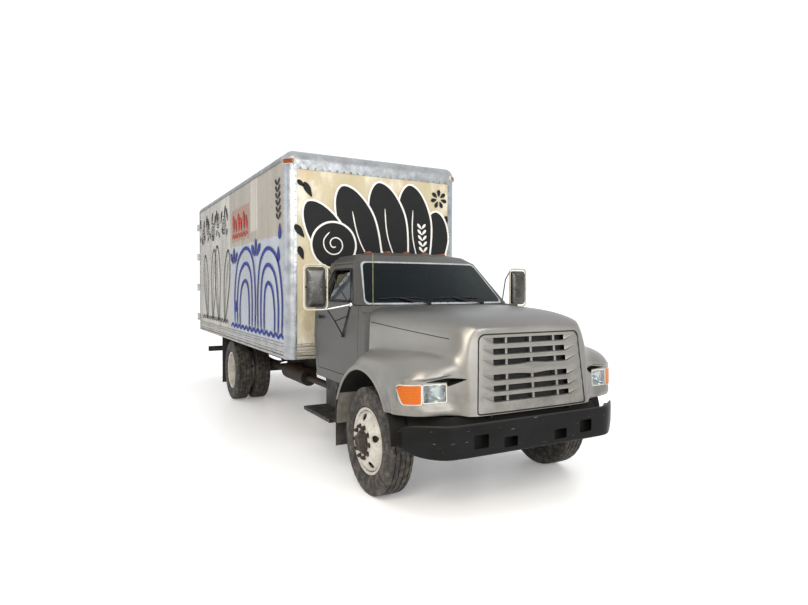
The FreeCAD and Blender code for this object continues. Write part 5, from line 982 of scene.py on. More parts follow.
# Each run of stains: its size, the noise it starts and is full at, how far it covers, its colour and its stretch.
for size, start, full, most, code, stretch in ((0.35, 0.5, 0.72, 0.5, "8d857a", (1, 1, 0.12)),
                                               (0.05, 0.6, 0.7, 0.45, "77736c", (1, 1, 0.5))):
    place = add_node(tree, "Mapping", {"Vector": where, "Scale": stretch}).outputs[0]
    streak = add_node(tree, "TexNoise", {"Vector": place, "Scale": 1 / size, "Detail": 7}).outputs["Fac"]
    cover = add_node(tree, "MapRange", {"Value": streak, "From Min": start, "From Max": full,
                                        "To Max": most}).outputs[0]
    colour = add_node(tree, "Mix", {"Factor": cover, "A": colour, "B": linear(code)},
                      data_type="RGBA").outputs["Result"]
# Panel seams every 1.2 m, pressed in by a millimetre.
across = add_node(tree, "SeparateXYZ", {"Vector": where}).outputs["Y"]
bay = add_node(tree, "Math", {0: across, 1: 1.21}, operation="PINGPONG").outputs[0]
seam = add_node(tree, "MapRange", {"Value": bay, "From Min": 0.004, "From Max": 0.012}).outputs[0]
dark_seam = add_node(tree, "MapRange", {"Value": seam, "To Min": 0.55, "To Max": 0}).outputs[0]
colour = add_node(tree, "Mix", {"Factor": dark_seam, "A": colour, "B": linear("5d5a55")},
                  data_type="RGBA").outputs["Result"]
raised = add_node(tree, "Bump", {"Height": seam, "Distance": 0.002})
tree.links.new(raised.outputs["Normal"], shader.inputs["Normal"])
tree.links.new(colour, shader.inputs["Base Color"])
coat(side_paint, "box_side_left", "box_side_right")
door_paint = finish("off_white_door_paint", ("aba79e", "c4c1b8", "d2d0c9"), 0.4, (0.4, 0.6), 0, 0.01, 0.0002,
                    stretch=(1, 1, 0.3), marks=(("7d776d", 0.2, 0.5, 0.75, 0.5, (1.9, 1.1), (1, 1, 0.3)),))
coat(door_paint, "cargo_door_left", "cargo_door_right")
roof_sheet = finish("weathered_roof_aluminium", ("9da0a2", "b1b3b4", "c0c1c0"), 0.8, (0.45, 0.6), 0.6, 0.02, 0.0005,
                    marks=(("55524b", 0.25, 0.52, 0.75, 0.6, None, EVEN),))
coat(roof_sheet, "box_roof")
floor_oak = finish("oiled_oak_boards", ("6b5236", "83663f", "957650"), 0.3, (0.55, 0.75), 0, 0.004, 0.0008,
                   stretch=(12, 0.6, 4), marks=(("3d2f20", 0.2, 0.55, 0.75, 0.6, None, EVEN),))
coat(floor_oak, "box_floor")

# Corner posts and rails: extruded aluminium, riveted to the skins. They are left bare and gone dull, with tar
# along the sides of the roof, and a bluish grey over the top rails as painted shade.
rail_aluminium, tree, shader = new_material("bare_rail_aluminium", "c3c7cb", 0.36, 0.85)
where = add_node(tree, "TexCoord").outputs["Object"]
drawn = add_node(tree, "Mapping", {"Vector": where, "Scale": (1, 1, 1.5)}).outputs[0]
dull = add_node(tree, "TexNoise", {"Vector": drawn, "Scale": 4, "Detail": 8, "Roughness": 0.6}).outputs["Fac"]
colour = add_node(tree, "ValToRGB", {"Fac": dull},
                  ((0.3, "94989d"), (0.5, "a9adb1"), (0.7, "babdbf"))).outputs["Color"]
gloss = add_node(tree, "MapRange", {"Value": dull, "From Min": 0.3, "From Max": 0.7,
                                    "To Min": 0.28, "To Max": 0.5})
tree.links.new(gloss.outputs[0], shader.inputs["Roughness"])
spot = add_node(tree, "SeparateXYZ", {"Vector": where})
grime_and_painted_shade = add_node(tree, "TexNoise", {"Vector": where, "Scale": 14, "Detail": 9, "Roughness": 0.7}).outputs["Fac"]
# Grime, tar and painted shade: its colour, the noise it starts and is full at, how far it covers, and spans up and
# along the truck.
cover_all = None
for code, start, full, most, spans in (
        ("6f6a61", 0.5, 0.7, 0.7, (("Z", 1.24, 1.1),)),
        ("3a3a3b", 0.2, 0.45, 0.85, (("Z", 3.42, 3.44), ("Y", -1.28, -1.2), ("Z", 3.556, 3.53))),
        # the bluish grey over the top rails is painted shade
        ("787a7c", 0.35, 0.62, 0.6, (("Z", 3.25, 3.34),))):
    cover = add_node(tree, "MapRange", {"Value": grime_and_painted_shade, "From Min": start, "From Max": full,
                                        "To Max": most}).outputs[0]
    for axis, low, high in spans:
        inside = add_node(tree, "MapRange", {"Value": spot.outputs[axis], "From Min": low, "From Max": high})
        cover = add_node(tree, "Math", {0: inside.outputs[0], 1: cover}, operation="MULTIPLY").outputs[0]
    if cover_all is None:
        cover_all = cover
    else:
        cover_all = add_node(tree, "Math", {0: cover_all, 1: cover}, operation="MAXIMUM").outputs[0]
    colour = add_node(tree, "Mix", {"Factor": cover, "A": colour, "B": linear(code)},
                      data_type="RGBA").outputs["Result"]
bare = add_node(tree, "MapRange", {"Value": cover_all, "To Min": 0.85, "To Max": 0.1}).outputs[0]
tree.links.new(bare, shader.inputs["Metallic"])
tree.links.new(colour, shader.inputs["Base Color"])
dents = add_node(tree, "TexNoise", {"Vector": where, "Scale": 5, "Detail": 2}).outputs["Fac"]
raised = add_node(tree, "Bump", {"Height": dents, "Distance": 0.012})
tree.links.new(raised.outputs["Normal"], shader.inputs["Normal"])
coat(rail_aluminium, "box_rails", "box_rear_frame")

# Rivets: domed aluminium rivets that hold the skins to the posts and rails, one row or two to an edge.
# One is turned and copied along the edges, and dirt has darkened them all.
RIVET = ((0, 7.5), (-1.6, 7), (-3, 4.6), (-3.6, 0.6))
rivet = turned_ring("rivet_pattern", RIVET, 8, closed=False)


def rivet_row(spots, turn, size=1):
    """Copies of the rivet at places in mm, with their heads towards -Y turned about Z."""
    points, faces = [], []
    turned = Matrix.Rotation(math.radians(turn), 3, "Z")
    for place in spots:
        start = len(points)
        points += [turned @ v.co * 1000 * size + Vector(place) for v in rivet.data.vertices]
        faces += [[start + i for i in f.vertices] for f in rivet.data.polygons]
    return mesh_object("rivet_row", points, faces)


VAN_FRONT_Y, VAN_SIDE_X = -1472.5, 1220
FRONT_RAIL_ZS, FRONT_POST_X, SIDE_RAIL_ZS, SIDE_POST_YS = (3340, 1186), 1106, (3452, 1192), (-1356, 4400)
rows = [rivet_row([(x, VAN_FRONT_Y, FRONT_RAIL_ZS[0]) for x in range(-1045, 1046, 95)], 0, 2),
        rivet_row([(x, VAN_FRONT_Y, z) for x in (-FRONT_POST_X, FRONT_POST_X) for z in range(1240, 3330, 95)], 0),
        rivet_row([(x, VAN_FRONT_Y, FRONT_RAIL_ZS[1]) for x in range(-1040, 1041, 130)], 0)]
for turn, x in ((-90, -VAN_SIDE_X), (90, VAN_SIDE_X)):
    rows += [rivet_row([(x, y, z) for y in range(-1300, 4401, 100)], turn) for z in SIDE_RAIL_ZS]
    rows.append(rivet_row([(x, y, z) for y in SIDE_POST_YS for z in range(1240, 3430, 95)], turn))
rivets = joined("body_rivets", *rows)
bpy.data.objects.remove(rivet)
smooth_by_angle(rivets, 60)
rivet_metal = finish("dirty_rivet_aluminium", ("5b5a58", "8b8c8c", "a7a9ab"), 0.3, (0.4, 0.6), 0.5)
dressed(rivets, rivet_metal, "truck")

# Painted decoration: brush-wide bands and filled shapes sprayed on the skins in black, white, blue and red, as
# thin films on the panels. The shapes are plain arches, leaves, sprigs, a flower, coils, drops and zigzags.
def eased(points, closed=False, steps=7):
    """A smooth run of points through the given ones."""
    many, count = [], len(points)
    for k in range(count if closed else count - 1):
        a, b, c, d = (points[(k + j) % count if closed else min(max(k + j, 0), count - 1)] for j in (-1, 0, 1, 2))
        for s in range(steps):
            t = s / steps
            many.append(tuple(0.5 * (2 * q + (r - p) * t + (2 * p - 5 * q + 4 * r - w) * t * t
                                     + (3 * q - p - 3 * r + w) * t ** 3) for p, q, r, w in zip(a, b, c, d)))
    return many if closed else many + [tuple(points[-1])]


class Film:
    """A layer of paint on a flat panel: bands along a path and filled shapes, in the panel's own mm."""

    def __init__(self, name, colour, onto, lift, roughness=0.6):
        self.name, self.colour, self.onto, self.lift, self.roughness = name, colour, onto, lift, roughness
        self.points, self.faces = [], []

    def band(self, path, width, closed=False):
        """Adds a stroke of a width along a path, which thins out at its ends."""
        run = eased(path, closed)
        if closed:
            run.append(run[0])
        first = len(self.points)
        for k, (u, v) in enumerate(run):
            before, after = run[max(k - 1, 0)], run[min(k + 1, len(run) - 1)]
            if closed and k in (0, len(run) - 1):
                before, after = run[-2], run[1]
            du, dv = after[0] - before[0], after[1] - before[1]
            length = math.hypot(du, dv) or 1
            half = width / 2 * (1 if closed else min(1, 0.35 + 0.65 * min(k, len(run) - 1 - k) / 2))
            self.points += [(u - dv / length * half, v + du / length * half, self.lift),
                            (u + dv / length * half, v - du / length * half, self.lift)]
        for k in range(len(run) - 1):
            a = first + 2 * k
            self.faces.append((a, a + 1, a + 3, a + 2))

    def patch(self, path):
        """Adds a filled shape."""
        run = eased(path, True)
        first = len(self.points)
        self.points += [(u, v, self.lift) for u, v in run]
        self.faces.append(tuple(range(first, first + len(run))))

    def laid(self):
        """Makes the film as a mesh on its panel, facing outwards."""
        film = mesh_object(self.name, [self.onto(*p) for p in self.points], self.faces)
        use_modifier(film, "TRIANGULATE")
        outward = Vector(self.onto(0, 0, 1)) - Vector(self.onto(0, 0, 0))
        shape = bmesh.new()
        shape.from_mesh(film.data)
        shape.normal_update()
        bmesh.ops.reverse_faces(shape, faces=[f for f in shape.faces if f.normal.dot(outward) < 0])
        shape.to_mesh(film.data)
        shape.free()
        paint = finish(self.name + "_paint", self.colour, 0.15, (self.roughness, self.roughness + 0.15), 0, 0.006,
                       0.0001, Specular_IOR_Level=0.25)
        dressed(film, paint, "truck")


def arch(middle, foot, half, height, lean=0):
    """A tall round-topped arch as a path."""
    shape = ((-1, 0, 0), (-1.02, 0, 0.45), (-0.72, 0.5, 0.85), (0, 1, 1), (0.72, 0.5, 0.85), (1.02, 0, 0.45), (1, 0, 0))
    return [(middle + half * out + lean * share, foot + height * up) for out, share, up in shape]


def leaf(foot, angle, length, width):
    """A leaf standing on its foot, leaning by an angle in degrees."""
    shape = ((0, 0), (-0.3, 0.25), (-0.5, 0.6), (-0.34, 0.88), (0, 1), (0.34, 0.88), (0.5, 0.6), (0.3, 0.25))
    c, s = math.cos(math.radians(angle)), math.sin(math.radians(angle))
    return [(foot[0] + u * width * c + v * length * s, foot[1] - u * width * s + v * length * c) for u, v in shape]


def coil(middle, radius, turns, start):
    """A path that winds inwards, with eight points to a turn, from an angle in radians."""
    spokes = [(radius * (1 - t / (8 * turns + 2)), start + t * math.pi / 4) for t in range(int(8 * turns) + 1)]
    return [(middle[0] + reach * math.cos(angle), middle[1] + reach * math.sin(angle)) for reach, angle in spokes]


def zigzag(start, step, rise, foot, count):
    """A path that rises at every other point."""
    return [(start + step * k, foot + rise * (k % 2)) for k in range(count)]


def sprig(film, foot, lean_x, step, count, lean, length, width):
    """Adds pairs of small leaves up a stem to a film."""
    for k in range(count):
        for side in (-lean, lean):
            film.patch(leaf((foot[0] + lean_x * k, foot[1] + step * k), side, length, width))


# Places on the front and on both sides of the body, at a lift in mm over the 0.6 mm that clears the skins.
def on_front(u, v, lift):
    return (u, VAN_FRONT_Y - 0.6 - lift, v)


def on_right(u, v, lift):
    return (-VAN_SIDE_X - 0.6 - lift, u, v)


def on_left(u, v, lift):
    return (VAN_SIDE_X + 0.6 + lift, u, v)


black_fan = Film("front_shapes_black", ("0e0f10", "151617", "1d1e1f"), on_front, 0.0, 0.55)
white_lines = Film("front_shapes_white", ("d4d3cf", "e0dfdb", "e8e7e3"), on_front, 0.0)
for k, (foot, angle, length, width) in enumerate((
        ((850, 1980), 3, 960, 440), ((700, 1960), -10, 1330, 520), ((400, 1960), -17, 1360, 540),
        ((60, 1960), -25, 1340, 520), ((-300, 1960), -34, 1190, 470))):
    broad = leaf(foot, angle, length, width)
    black_fan.lift, white_lines.lift = 0.4 * k, 0.4 * k + 0.2
    black_fan.patch(broad)
    white_lines.band(broad, 26, closed=True)
    rib = leaf(foot, angle, length * 0.74, width * 0.25)
    if k in (1, 2, 3):
        white_lines.band([foot, rib[2], rib[4]], 16)
black_fan.lift, white_lines.lift = 2.2, 2.5
ring = oval((-610, 2420), 300, 290, 10)
black_fan.patch(ring)
white_lines.band(ring, 26, closed=True)
white_lines.band(coil((-600, 2430), 165, 1.6, 2), 15)
sprig(white_lines, (690, 2370), -7, 78, 5, 42, 96, 36)
black_fan.lift = 0.1
for k in range(7):
    lean = 360 * k / 7
    out = (34 * math.sin(math.radians(lean)), 34 * math.cos(math.radians(lean)))
    black_fan.patch(leaf((940 + out[0], 3110 + out[1]), lean, 96, 54))
for foot, lean, length, width in (((1000, 2690), 20, 210, 84), ((-900, 3000), -30, 200, 86),
                                  ((-1000, 3120), -50, 110, 60), ((-1000, 2500), -38, 190, 90),
                                  ((-1010, 2230), -20, 170, 76)):
    black_fan.patch(leaf(foot, lean, length, width))
white_lines.lift = 0.1
black_fan.laid()
white_lines.laid()

for label, onto in (("right", on_right), ("left", on_left)):
    blue = Film(f"side_arches_blue_{label}", ("17226a", "1e2b7c", "2a388c"), onto, 0.2)
    for middle, half, height, lean in ((-700, 560, 1120, 60), (-700, 400, 900, 60), (-700, 240, 660, 40),
                                       (640, 620, 1190, -80), (640, 450, 960, -80), (640, 280, 700, -50)):
        blue.band(arch(middle, 1290, half, height, lean), 52)
    for foot in ((-30, 2330), (1330, 2270)):
        for lean in (-48, 0, 48):
            blue.patch(leaf((foot[0] + lean, foot[1]), lean, 250, 104))
    for u, v in ((-1180, 2560), (-1120, 2280), (1180, 1560)):
        blue.patch([(u, v + 130), (u - 60, v), (u - 40, v - 50), (u, v - 70), (u + 40, v - 50), (u + 60, v)])
    blue.band(zigzag(-1330, 110, 45, 1250, 27), 40)
    blue.laid()
    ink = Film(f"side_leaves_black_{label}", ("0f0f10", "18181a", "232325"), onto, 0.3)
    for middle, angle, length, width in ((2050, -14, 1250, 420), (2560, 6, 1350, 440), (3100, -6, 1300, 420),
                                         (3620, 12, 1250, 420)):
        outline = leaf((middle, 1300), angle, length, width)
        ink.band(outline, 34, closed=True)
        tip = outline[4]
        ink.band([(middle, 1300), ((middle + tip[0]) / 2 + 30, (1300 + tip[1]) / 2), (tip[0], tip[1] - 160)], 24)
    for u, v, radius in ((2100, 2960, 170), (2620, 3080, 150), (3080, 2920, 180), (3560, 3060, 150),
                         (4020, 2900, 170)):
        ink.band(coil((u, v), radius, 2.6, u), 20)
    for k in range(10):
        ink.patch(leaf((1790 + 280 * k, 3010 + 60 * (k % 2)), -24 if k % 3 else 24, 250, 74))
        ink.patch(leaf((1900 + 280 * k, 2760 + 50 * (k % 2)), 30 if k % 3 else -30, 150, 56))
    ink.band(zigzag(1780, 95, 60, 1275, 26), 26)
    sprig(ink, (-1130, 2740), 8, 86, 6, 50, 130, 48)
    ink.laid()
    red = Film(f"side_waves_red_{label}", ("a32a26", "b5362f", "c0483e"), onto, 0.4)
    for k in range(6):
        red.patch(leaf((470 + 170 * k, 2760), 10 if k % 2 else 22, 300 if k % 2 else 240, 96))
    red.band(zigzag(440, 84, 56, 2680, 13), 26)
    red.laid()

# Base rails: ribbed aluminium extrusions, riveted along the foot of the body, painted off-white and grey with
# road dirt.
RIB_STEP, RIB_FOOT_X, RIB_TOP_X = 46, 1212, 1227
ribs = [(RIB_FOOT_X, 1012)]
for z in range(1018, 1018 + 4 * RIB_STEP, RIB_STEP):
    ribs += [(RIB_FOOT_X, z), (RIB_TOP_X, z + 5), (RIB_TOP_X, z + 22), (RIB_FOOT_X, z + 28)]
ribs.append((RIB_FOOT_X, 1196))
rail_paint = finish("grimy_rail_paint", ("8f8c84", "a5a29a", "b3b0a8"), 0.4, (0.45, 0.65), 0, 0.006, 0.0003,
                    stretch=(1, 1, 0.4),
                    marks=(("3f3b35", 0.09, 0.48, 0.66, 0.75, (1.2, 1.02), (1, 0.4, 1)),
                           ("5d574d", 0.3, 0.45, 0.7, 0.5, None, EVEN)))
side_ribs = mirrored_half(prism("base_rail_ribs", ribs, -1344, 4418))
front_ribs = prism("front_ribs", [(x - 1215, z) for x, z in ribs], -1092, 1092)
to_front = Matrix.Translation((0, VAN_FRONT_Y / 1000, 0)) @ Matrix.Rotation(math.radians(-90), 4, "Z")
front_ribs.data.transform(to_front)
base_ribs = joined("base_rail_ribs", side_ribs, front_ribs)
dressed(base_ribs, rail_paint, "truck")

# Windscreen: one curved laminated pane, glued into the cab over a black band printed on its edge, with a bright
# strip round it. The band is deeper at the top. The rear window is a flat pane with rounded corners.
WAIST_Z = 1705


def on_screen(x, z, proud=0):
    """A place on the curved front of the cab, standing out from it by a little."""
    share = (z - WAIST_Z) / 467
    half = 908 - 176 * share
    return (x, FRONT_AXLE_Y + 575 + 410 * share - 72 * (1 - (x / half) ** 2) - proud, z)


SCREEN = ((-868, 1724), (868, 1724), (728, 2158), (-728, 2158))
SCREEN_VIEW = ((-806, 1768), (806, 1768), (690, 2086), (-690, 2086))
SCREEN_RADII = (36, 36, 64, 64)
bright_strip = finish("bright_screen_strip", ("9a9c9d", "b5b7b8", "c7c9ca"), 0.2, (0.2, 0.35), 0.8)
band_print = finish("black_glass_print", ("08090a", "0d0e10", "121315"), 0.4, (0.12, 0.2),
                    Specular_IOR_Level=0.4)
tinted = []
# Both glasses are tinted a dark grey green in patches, as painted shade of the cab's inside.
for name, mirrored in (("laminated_screen_glass", "4f6f80"), ("tempered_door_glass", "9fc0cf")):
    glass, tree, shader = new_material(name, "9fb3ab", 0.02, Transmission_Weight=1, IOR=1.5,
                                       Specular_Tint=linear(mirrored))
    where = add_node(tree, "TexCoord").outputs["Object"]
    film = add_node(tree, "TexNoise", {"Vector": where, "Scale": 6, "Detail": 5}).outputs["Fac"]
    glass_shade_tint = add_node(tree, "ValToRGB", {"Fac": film}, ((0.3, "33403c"), (0.7, "43524d")))
    haze = add_node(tree, "MapRange", {"Value": film, "From Min": 0.45, "From Max": 0.75,
                                       "To Min": 0.01, "To Max": 0.07})
    tree.links.new(glass_shade_tint.outputs["Color"], shader.inputs["Base Color"])
    tree.links.new(haze.outputs[0], shader.inputs["Roughness"])
    tinted.append(glass)
skin_ring("windscreen_strip", rounded(grown(SCREEN, 13), SCREEN_RADII), rounded(grown(SCREEN, -5), SCREEN_RADII), 4,
          bright_strip, "mirror_steel", 0.008, on_screen, "truck")
skin_ring("windscreen_band", rounded(SCREEN, SCREEN_RADII), rounded(SCREEN_VIEW, (30, 30, 40, 40)), 2, band_print,
          "dark_trim", 0.003, on_screen, "truck")
windscreen = skinned("windscreen", [[on_screen((868 - 140 * k / 8) * i / 10, 1724 + 434 * k / 8, 6)
                                     for i in range(-10, 11)] for k in range(9)])
thicken(windscreen, 0.005)
smooth_by_angle(windscreen, 40)
screen_space = prism("screen_space", grown(SCREEN, -1), FRONT_AXLE_Y + 300, FRONT_AXLE_Y + 1200, SCREEN_RADII)
cut_by(windscreen, screen_space, "INTERSECT")
rear_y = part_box("cab_glass")[1].y * 1000 - 2
rear_pane = prism("rear_window", ((-560, 1790), (560, 1790), (560, 2070), (-560, 2070)), rear_y - 6, rear_y,
                  (60,) * 4)
windscreen = joined("cab_windows", windscreen, rear_pane)
dressed(windscreen, tinted[0], "truck", "cab_glass")
coat(tinted[1], "door_glass_left", "door_glass_right")


def tube(name, path, radius, sides=10):
    """A rod of round section along a path in mm, with flat ends."""
    run = [Vector(p) for p in path]
    section = oval((0, 0), radius, radius, sides)
    points, side = [], None
    for k, place in enumerate(run):
        along = (run[min(k + 1, len(run) - 1)] - run[max(k - 1, 0)]).normalized()
        side = (side - along * side.dot(along)).normalized() if side else along.orthogonal().normalized()
        points += [place + side * u + along.cross(side) * v for u, v in section]
    last = len(points) - sides
    faces = [(k + i, k + (i + 1) % sides, k + sides + (i + 1) % sides, k + sides + i)
             for k in range(0, last, sides) for i in range(sides)]
    faces += [tuple(reversed(range(sides))), tuple(range(last, len(points)))]
    return smooth_by_angle(mesh_object(name, points, faces), 50)


def handed(piece, label, material, node=None):
    """Finishes a piece made for the left door, turned over for the right one."""
    if label == "right":
        flipped(piece)
    piece.name += "_" + label
    return dressed(piece, material, "cab_door_" + label, node)


# Wipers and aerial: two black pressed arms with rubber blades at rest on the screen's foot, and a thin sprung
# brass whip on the cowl's right side.
WIPER_FOOT_Z = 1722
wiper_parts = []
for low, high, pivot in ((-700, -190, -150), (-60, 520, 560)):
    span, reach = high - low, low + (high - low) * 0.45 - pivot
    blade = [on_screen(x, 1772 + 10 * math.sin((x - low) / span * math.pi), 14) for x in range(low, high + 1, 34)]
    arm = [on_screen(pivot + reach * t, WIPER_FOOT_Z + 56 * t, 20 + 16 * math.sin(t * math.pi))
           for t in (0, 0.2, 0.4, 0.6, 0.8, 1)]
    stub = [on_screen(pivot, WIPER_FOOT_Z, proud) for proud in (6, 34)]
    wiper_parts += [tube("wiper_blade", blade, 6), tube("wiper_arm", arm, 7.5), tube("wiper_pivot", stub, 15, 16)]
wipers = joined("windscreen_wipers", *wiper_parts)
satin_black = finish("satin_black_steel", ("0d0d0e", "151516", "1d1d1d"), 0.05, (0.4, 0.6), 0, 0.002, 0.0001,
                     Specular_IOR_Level=0.35)
dressed(wipers, satin_black, "truck")
AERIAL_X, AERIAL_Y = -800, FRONT_AXLE_Y + 536
whip = [(AERIAL_X + 25 * t, AERIAL_Y + 60 * t, 1700 + 540 * t) for t in (k / 8 for k in range(9))]
aerial = joined("aerial", tube("aerial_whip", whip, 3, 8),
                tube("aerial_foot", [(AERIAL_X, AERIAL_Y, z) for z in (1686, 1722)], 11, 12))
brass = finish("dull_brass_whip", ("6e6a45", "8a865c", "a19d75"), 0.05, (0.3, 0.5), 0.6)
dressed(aerial, brass, "truck")

# Door fittings: a seal of black rubber pressed round each window, and a black steel paddle handle screwed to the
# rear edge of each door.
door_tree = BVHTree.FromPolygons([v.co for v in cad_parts["door_left"].data.vertices],
                                 [p.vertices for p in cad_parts["door_left"].data.polygons])


def on_door(y, z, sink=0):
    """The place on the left door's outer skin beside (y, z), sunk in by a little; y is from the front axle."""
    start = Vector((3, (FRONT_AXLE_Y + y) / 1000, z / 1000))
    return (door_tree.ray_cast(start, Vector((-1, 0, 0)))[0].x * 1000 - sink, FRONT_AXLE_Y + y, z)


def on_side(y, z, sink=0):
    """The place on the plane of the left door's window, which leans in above the waist."""
    return (984 - 0.4 * max(z - WAIST_Z, 0) - sink, FRONT_AXLE_Y + y, z)


WINDOW = ((718, 1752), (1520, 1752), (1500, 2088), (1022, 2088))
WINDOW_RADII = (26, 40, 60, 60)
HANDLE = ((1450, 1540), (1580, 1534), (1584, 1562), (1500, 1578), (1450, 1572))
seal_rings = [rounded(grown(WINDOW, by), WINDOW_RADII) for by in (12, -7)]
for label in ("left", "right"):
    seal = skin_ring("window_seal_" + label, *seal_rings, -1, black_rubber_and_shade, "dark_trim", 0.01, on_side,
                     "cab_door_" + label)
    if label == "right":
        flipped(seal)
    handle = prism("door_handle", HANDLE, 0, 26, (10,) * 5)
    skin_x = on_door(1515, 1555, 6)[0] / 1000
    handle.data.transform(Matrix(((0, 1, 0, skin_x), (1, 0, 0, FRONT_AXLE_Y / 1000), (0, 0, 1, 0), (0, 0, 0, 1))))
    handle.data.flip_normals()
    bevel(handle, 0.006, 3, 40)
    smooth_by_angle(handle, 40)
    handed(handle, label, satin_black)

# Mirrors: a steel housing in worn grey paint in a loop of tube, on a bright arm to the foot of the pillar and
# black struts down the door, with a flat glass facing back.
mirror_paint = finish("worn_mirror_paint", ("3a3937", "4d4c49", "62615f"), 0.2, (0.2, 0.34), 0.75, 0.003, 0.0001,
                      marks=(("a5a39d", 0.03, 0.6, 0.7, 0.6, None, EVEN),))
loop_paint = finish("cream_loop_paint", ("a59e8c", "bdb6a4", "cbc5b5"), 0.08, (0.35, 0.5), 0.2)
mirror_glass = finish("silvered_mirror_glass", ("c9d0d3", "d4dadc", "dde2e4"), 0.5, (0.02, 0.05), 1)
arm_chrome = finish("bright_arm_steel", ("a8aaab", "c2c4c5", "d3d4d4"), 0.1, (0.15, 0.3), 0.95)
MIRROR_Y = FRONT_AXLE_Y + 812
MIRROR = ((1216, 1692), (1404, 1692), (1404, 2088), (1216, 2088))
HOUSING = ((0.94, 30), (1, 26), (1, 2), (0.985, -10), (0.94, -20), (0.8, -27), (0.5, -31), (0.2, -32))
ARM = ((1300, 0, 1664), (1190, 0, 1664), (1080, -70, 1690), (980, -130, 1712))
# Each strut: its name, its path measured from the mirror's plane, its radius and its number of sides.
STRUTS = (("strut_top", ((1192, 0, 2100), (1120, 4, 1990), (1000, -90, 1745)), 6.5, 10),
          ("strut_low", ((1192, 0, 1668), (1100, 10, 1540), (1006, 30, 1392)), 7, 10),
          ("strut_back", ((1100, 10, 1540), (1004, -120, 1600)), 6, 10),
          ("strut_brace", ((990, -126, 1706), (1006, 30, 1400)), 6, 10),
          ("strut_foot", ((1000, 30, 1386), (1018, 30, 1386)), 18, 14),
          ("mid_stay", ((1192, 0, 1890), (1222, 0, 1890)), 7, 10),
          ("outer_stay", ((1402, 0, 1890), (1430, 0, 1890)), 7, 10))


def by_mirror(path):
    return [(x, MIRROR_Y + y, z) for x, y, z in path]


for label in ("left", "right"):
    housing = dish("mirror_housing", rounded(grown(MIRROR, 6), (34,) * 4, 8), HOUSING, mirror_paint,
                   lambda x, z, h: (x, MIRROR_Y + h, z), None)
    if min(housing.data.polygons, key=lambda p: p.center.y).normal.y > 0:
        housing.data.flip_normals()
    handed(housing, label, mirror_paint, "mirror_" + label)
    glass = prism("mirror_glass", grown(MIRROR, -4), MIRROR_Y + 24, MIRROR_Y + 29, (30,) * 4)
    handed(glass, label, mirror_glass)
    loop_path = [(p.x, MIRROR_Y, p.y) for p in rounded(grown(MIRROR, 30), (46,) * 4)]
    loop = tube("mirror_loop", loop_path + loop_path[:2], 9.5, 12)
    handed(loop, label, loop_paint)
    arm = joined("mirror_arm", tube("mirror_arm_low", by_mirror(ARM), 10, 12),
                 tube("mirror_bracket", by_mirror(((975, -134, 1700), (988, -128, 1726))), 20, 16))
    handed(arm, label, arm_chrome)
    struts = joined("mirror_struts", *(tube(name, by_mirror(path), *round_bar) for name, path, *round_bar in STRUTS))
    handed(struts, label, satin_black)

# Marker lamps: five small amber lamps on black feet on the cab's roof, and a flat one on the top of each front
# corner of the body, turned half way round the corner.
# the amber markers are painted darker in the grooves of their ribs, as painted shade
amber_small = ribbed("amber_marker_plastic", "a8480c", 0.2, "Z", 40, ("6b2c0a", "a64a16"),
                     Transmission_Weight=0.25, IOR=1.5)
DROP = ((-18, -62), (0, -68), (18, -62), (32, -10), (34, 34), (26, 52), (-26, 52), (-34, 34), (-32, -10))
ROOF_LAMP = ((1, 6), (1, 16), (0.92, 26), (0.74, 34), (0.4, 38), (0.1, 39))
ROOF_LAMP_FOOT = ((1.15, -14), (1.15, 4), (1.02, 8))
CORNER_LAMP, CORNER_LAMP_FOOT = ((1, -20), (1, 5), (0.94, 13), (0.8, 17), (0.3, 19)), ((1, -26), (1, -2), (0.94, 2))
lamp_parts, feet = [], []
for middle in (-500, -250, 0, 250, 500):
    def on_roof(x, y, h):
        return (x, y, 2276 - 10 * (middle / 500) ** 2 + h)

    drop = [(middle + u, FRONT_AXLE_Y + 1290 + v) for u, v in DROP]
    feet.append(dish("lamp_foot", drop, ROOF_LAMP_FOOT, satin_black, on_roof, None))
    lamp_parts.append(dish("roof_lamp", drop, ROOF_LAMP, amber_small, on_roof, None))
for sign in (-1, 1):
    def on_corner(u, z, h):
        return (sign * (1185 + (h + u) * 0.7071), -1437 - (h - u) * 0.7071, z)

    lamp_parts.append(dish("corner_lamp", rounded(((-72, 3390), (72, 3390), (72, 3444), (-72, 3444)), (14,) * 4),
                           CORNER_LAMP, amber_small, on_corner, None))
    feet.append(dish("corner_lamp_foot", rounded(((-80, 3382), (80, 3382), (80, 3452), (-80, 3452)), (16,) * 4),
                     CORNER_LAMP_FOOT, pale_bezel, on_corner, None))
marker = joined("marker_lamp_lenses", *lamp_parts)
dressed(marker, None, "truck", "marker_lamps")
dressed(joined("marker_lamp_feet", *feet), None, "truck")

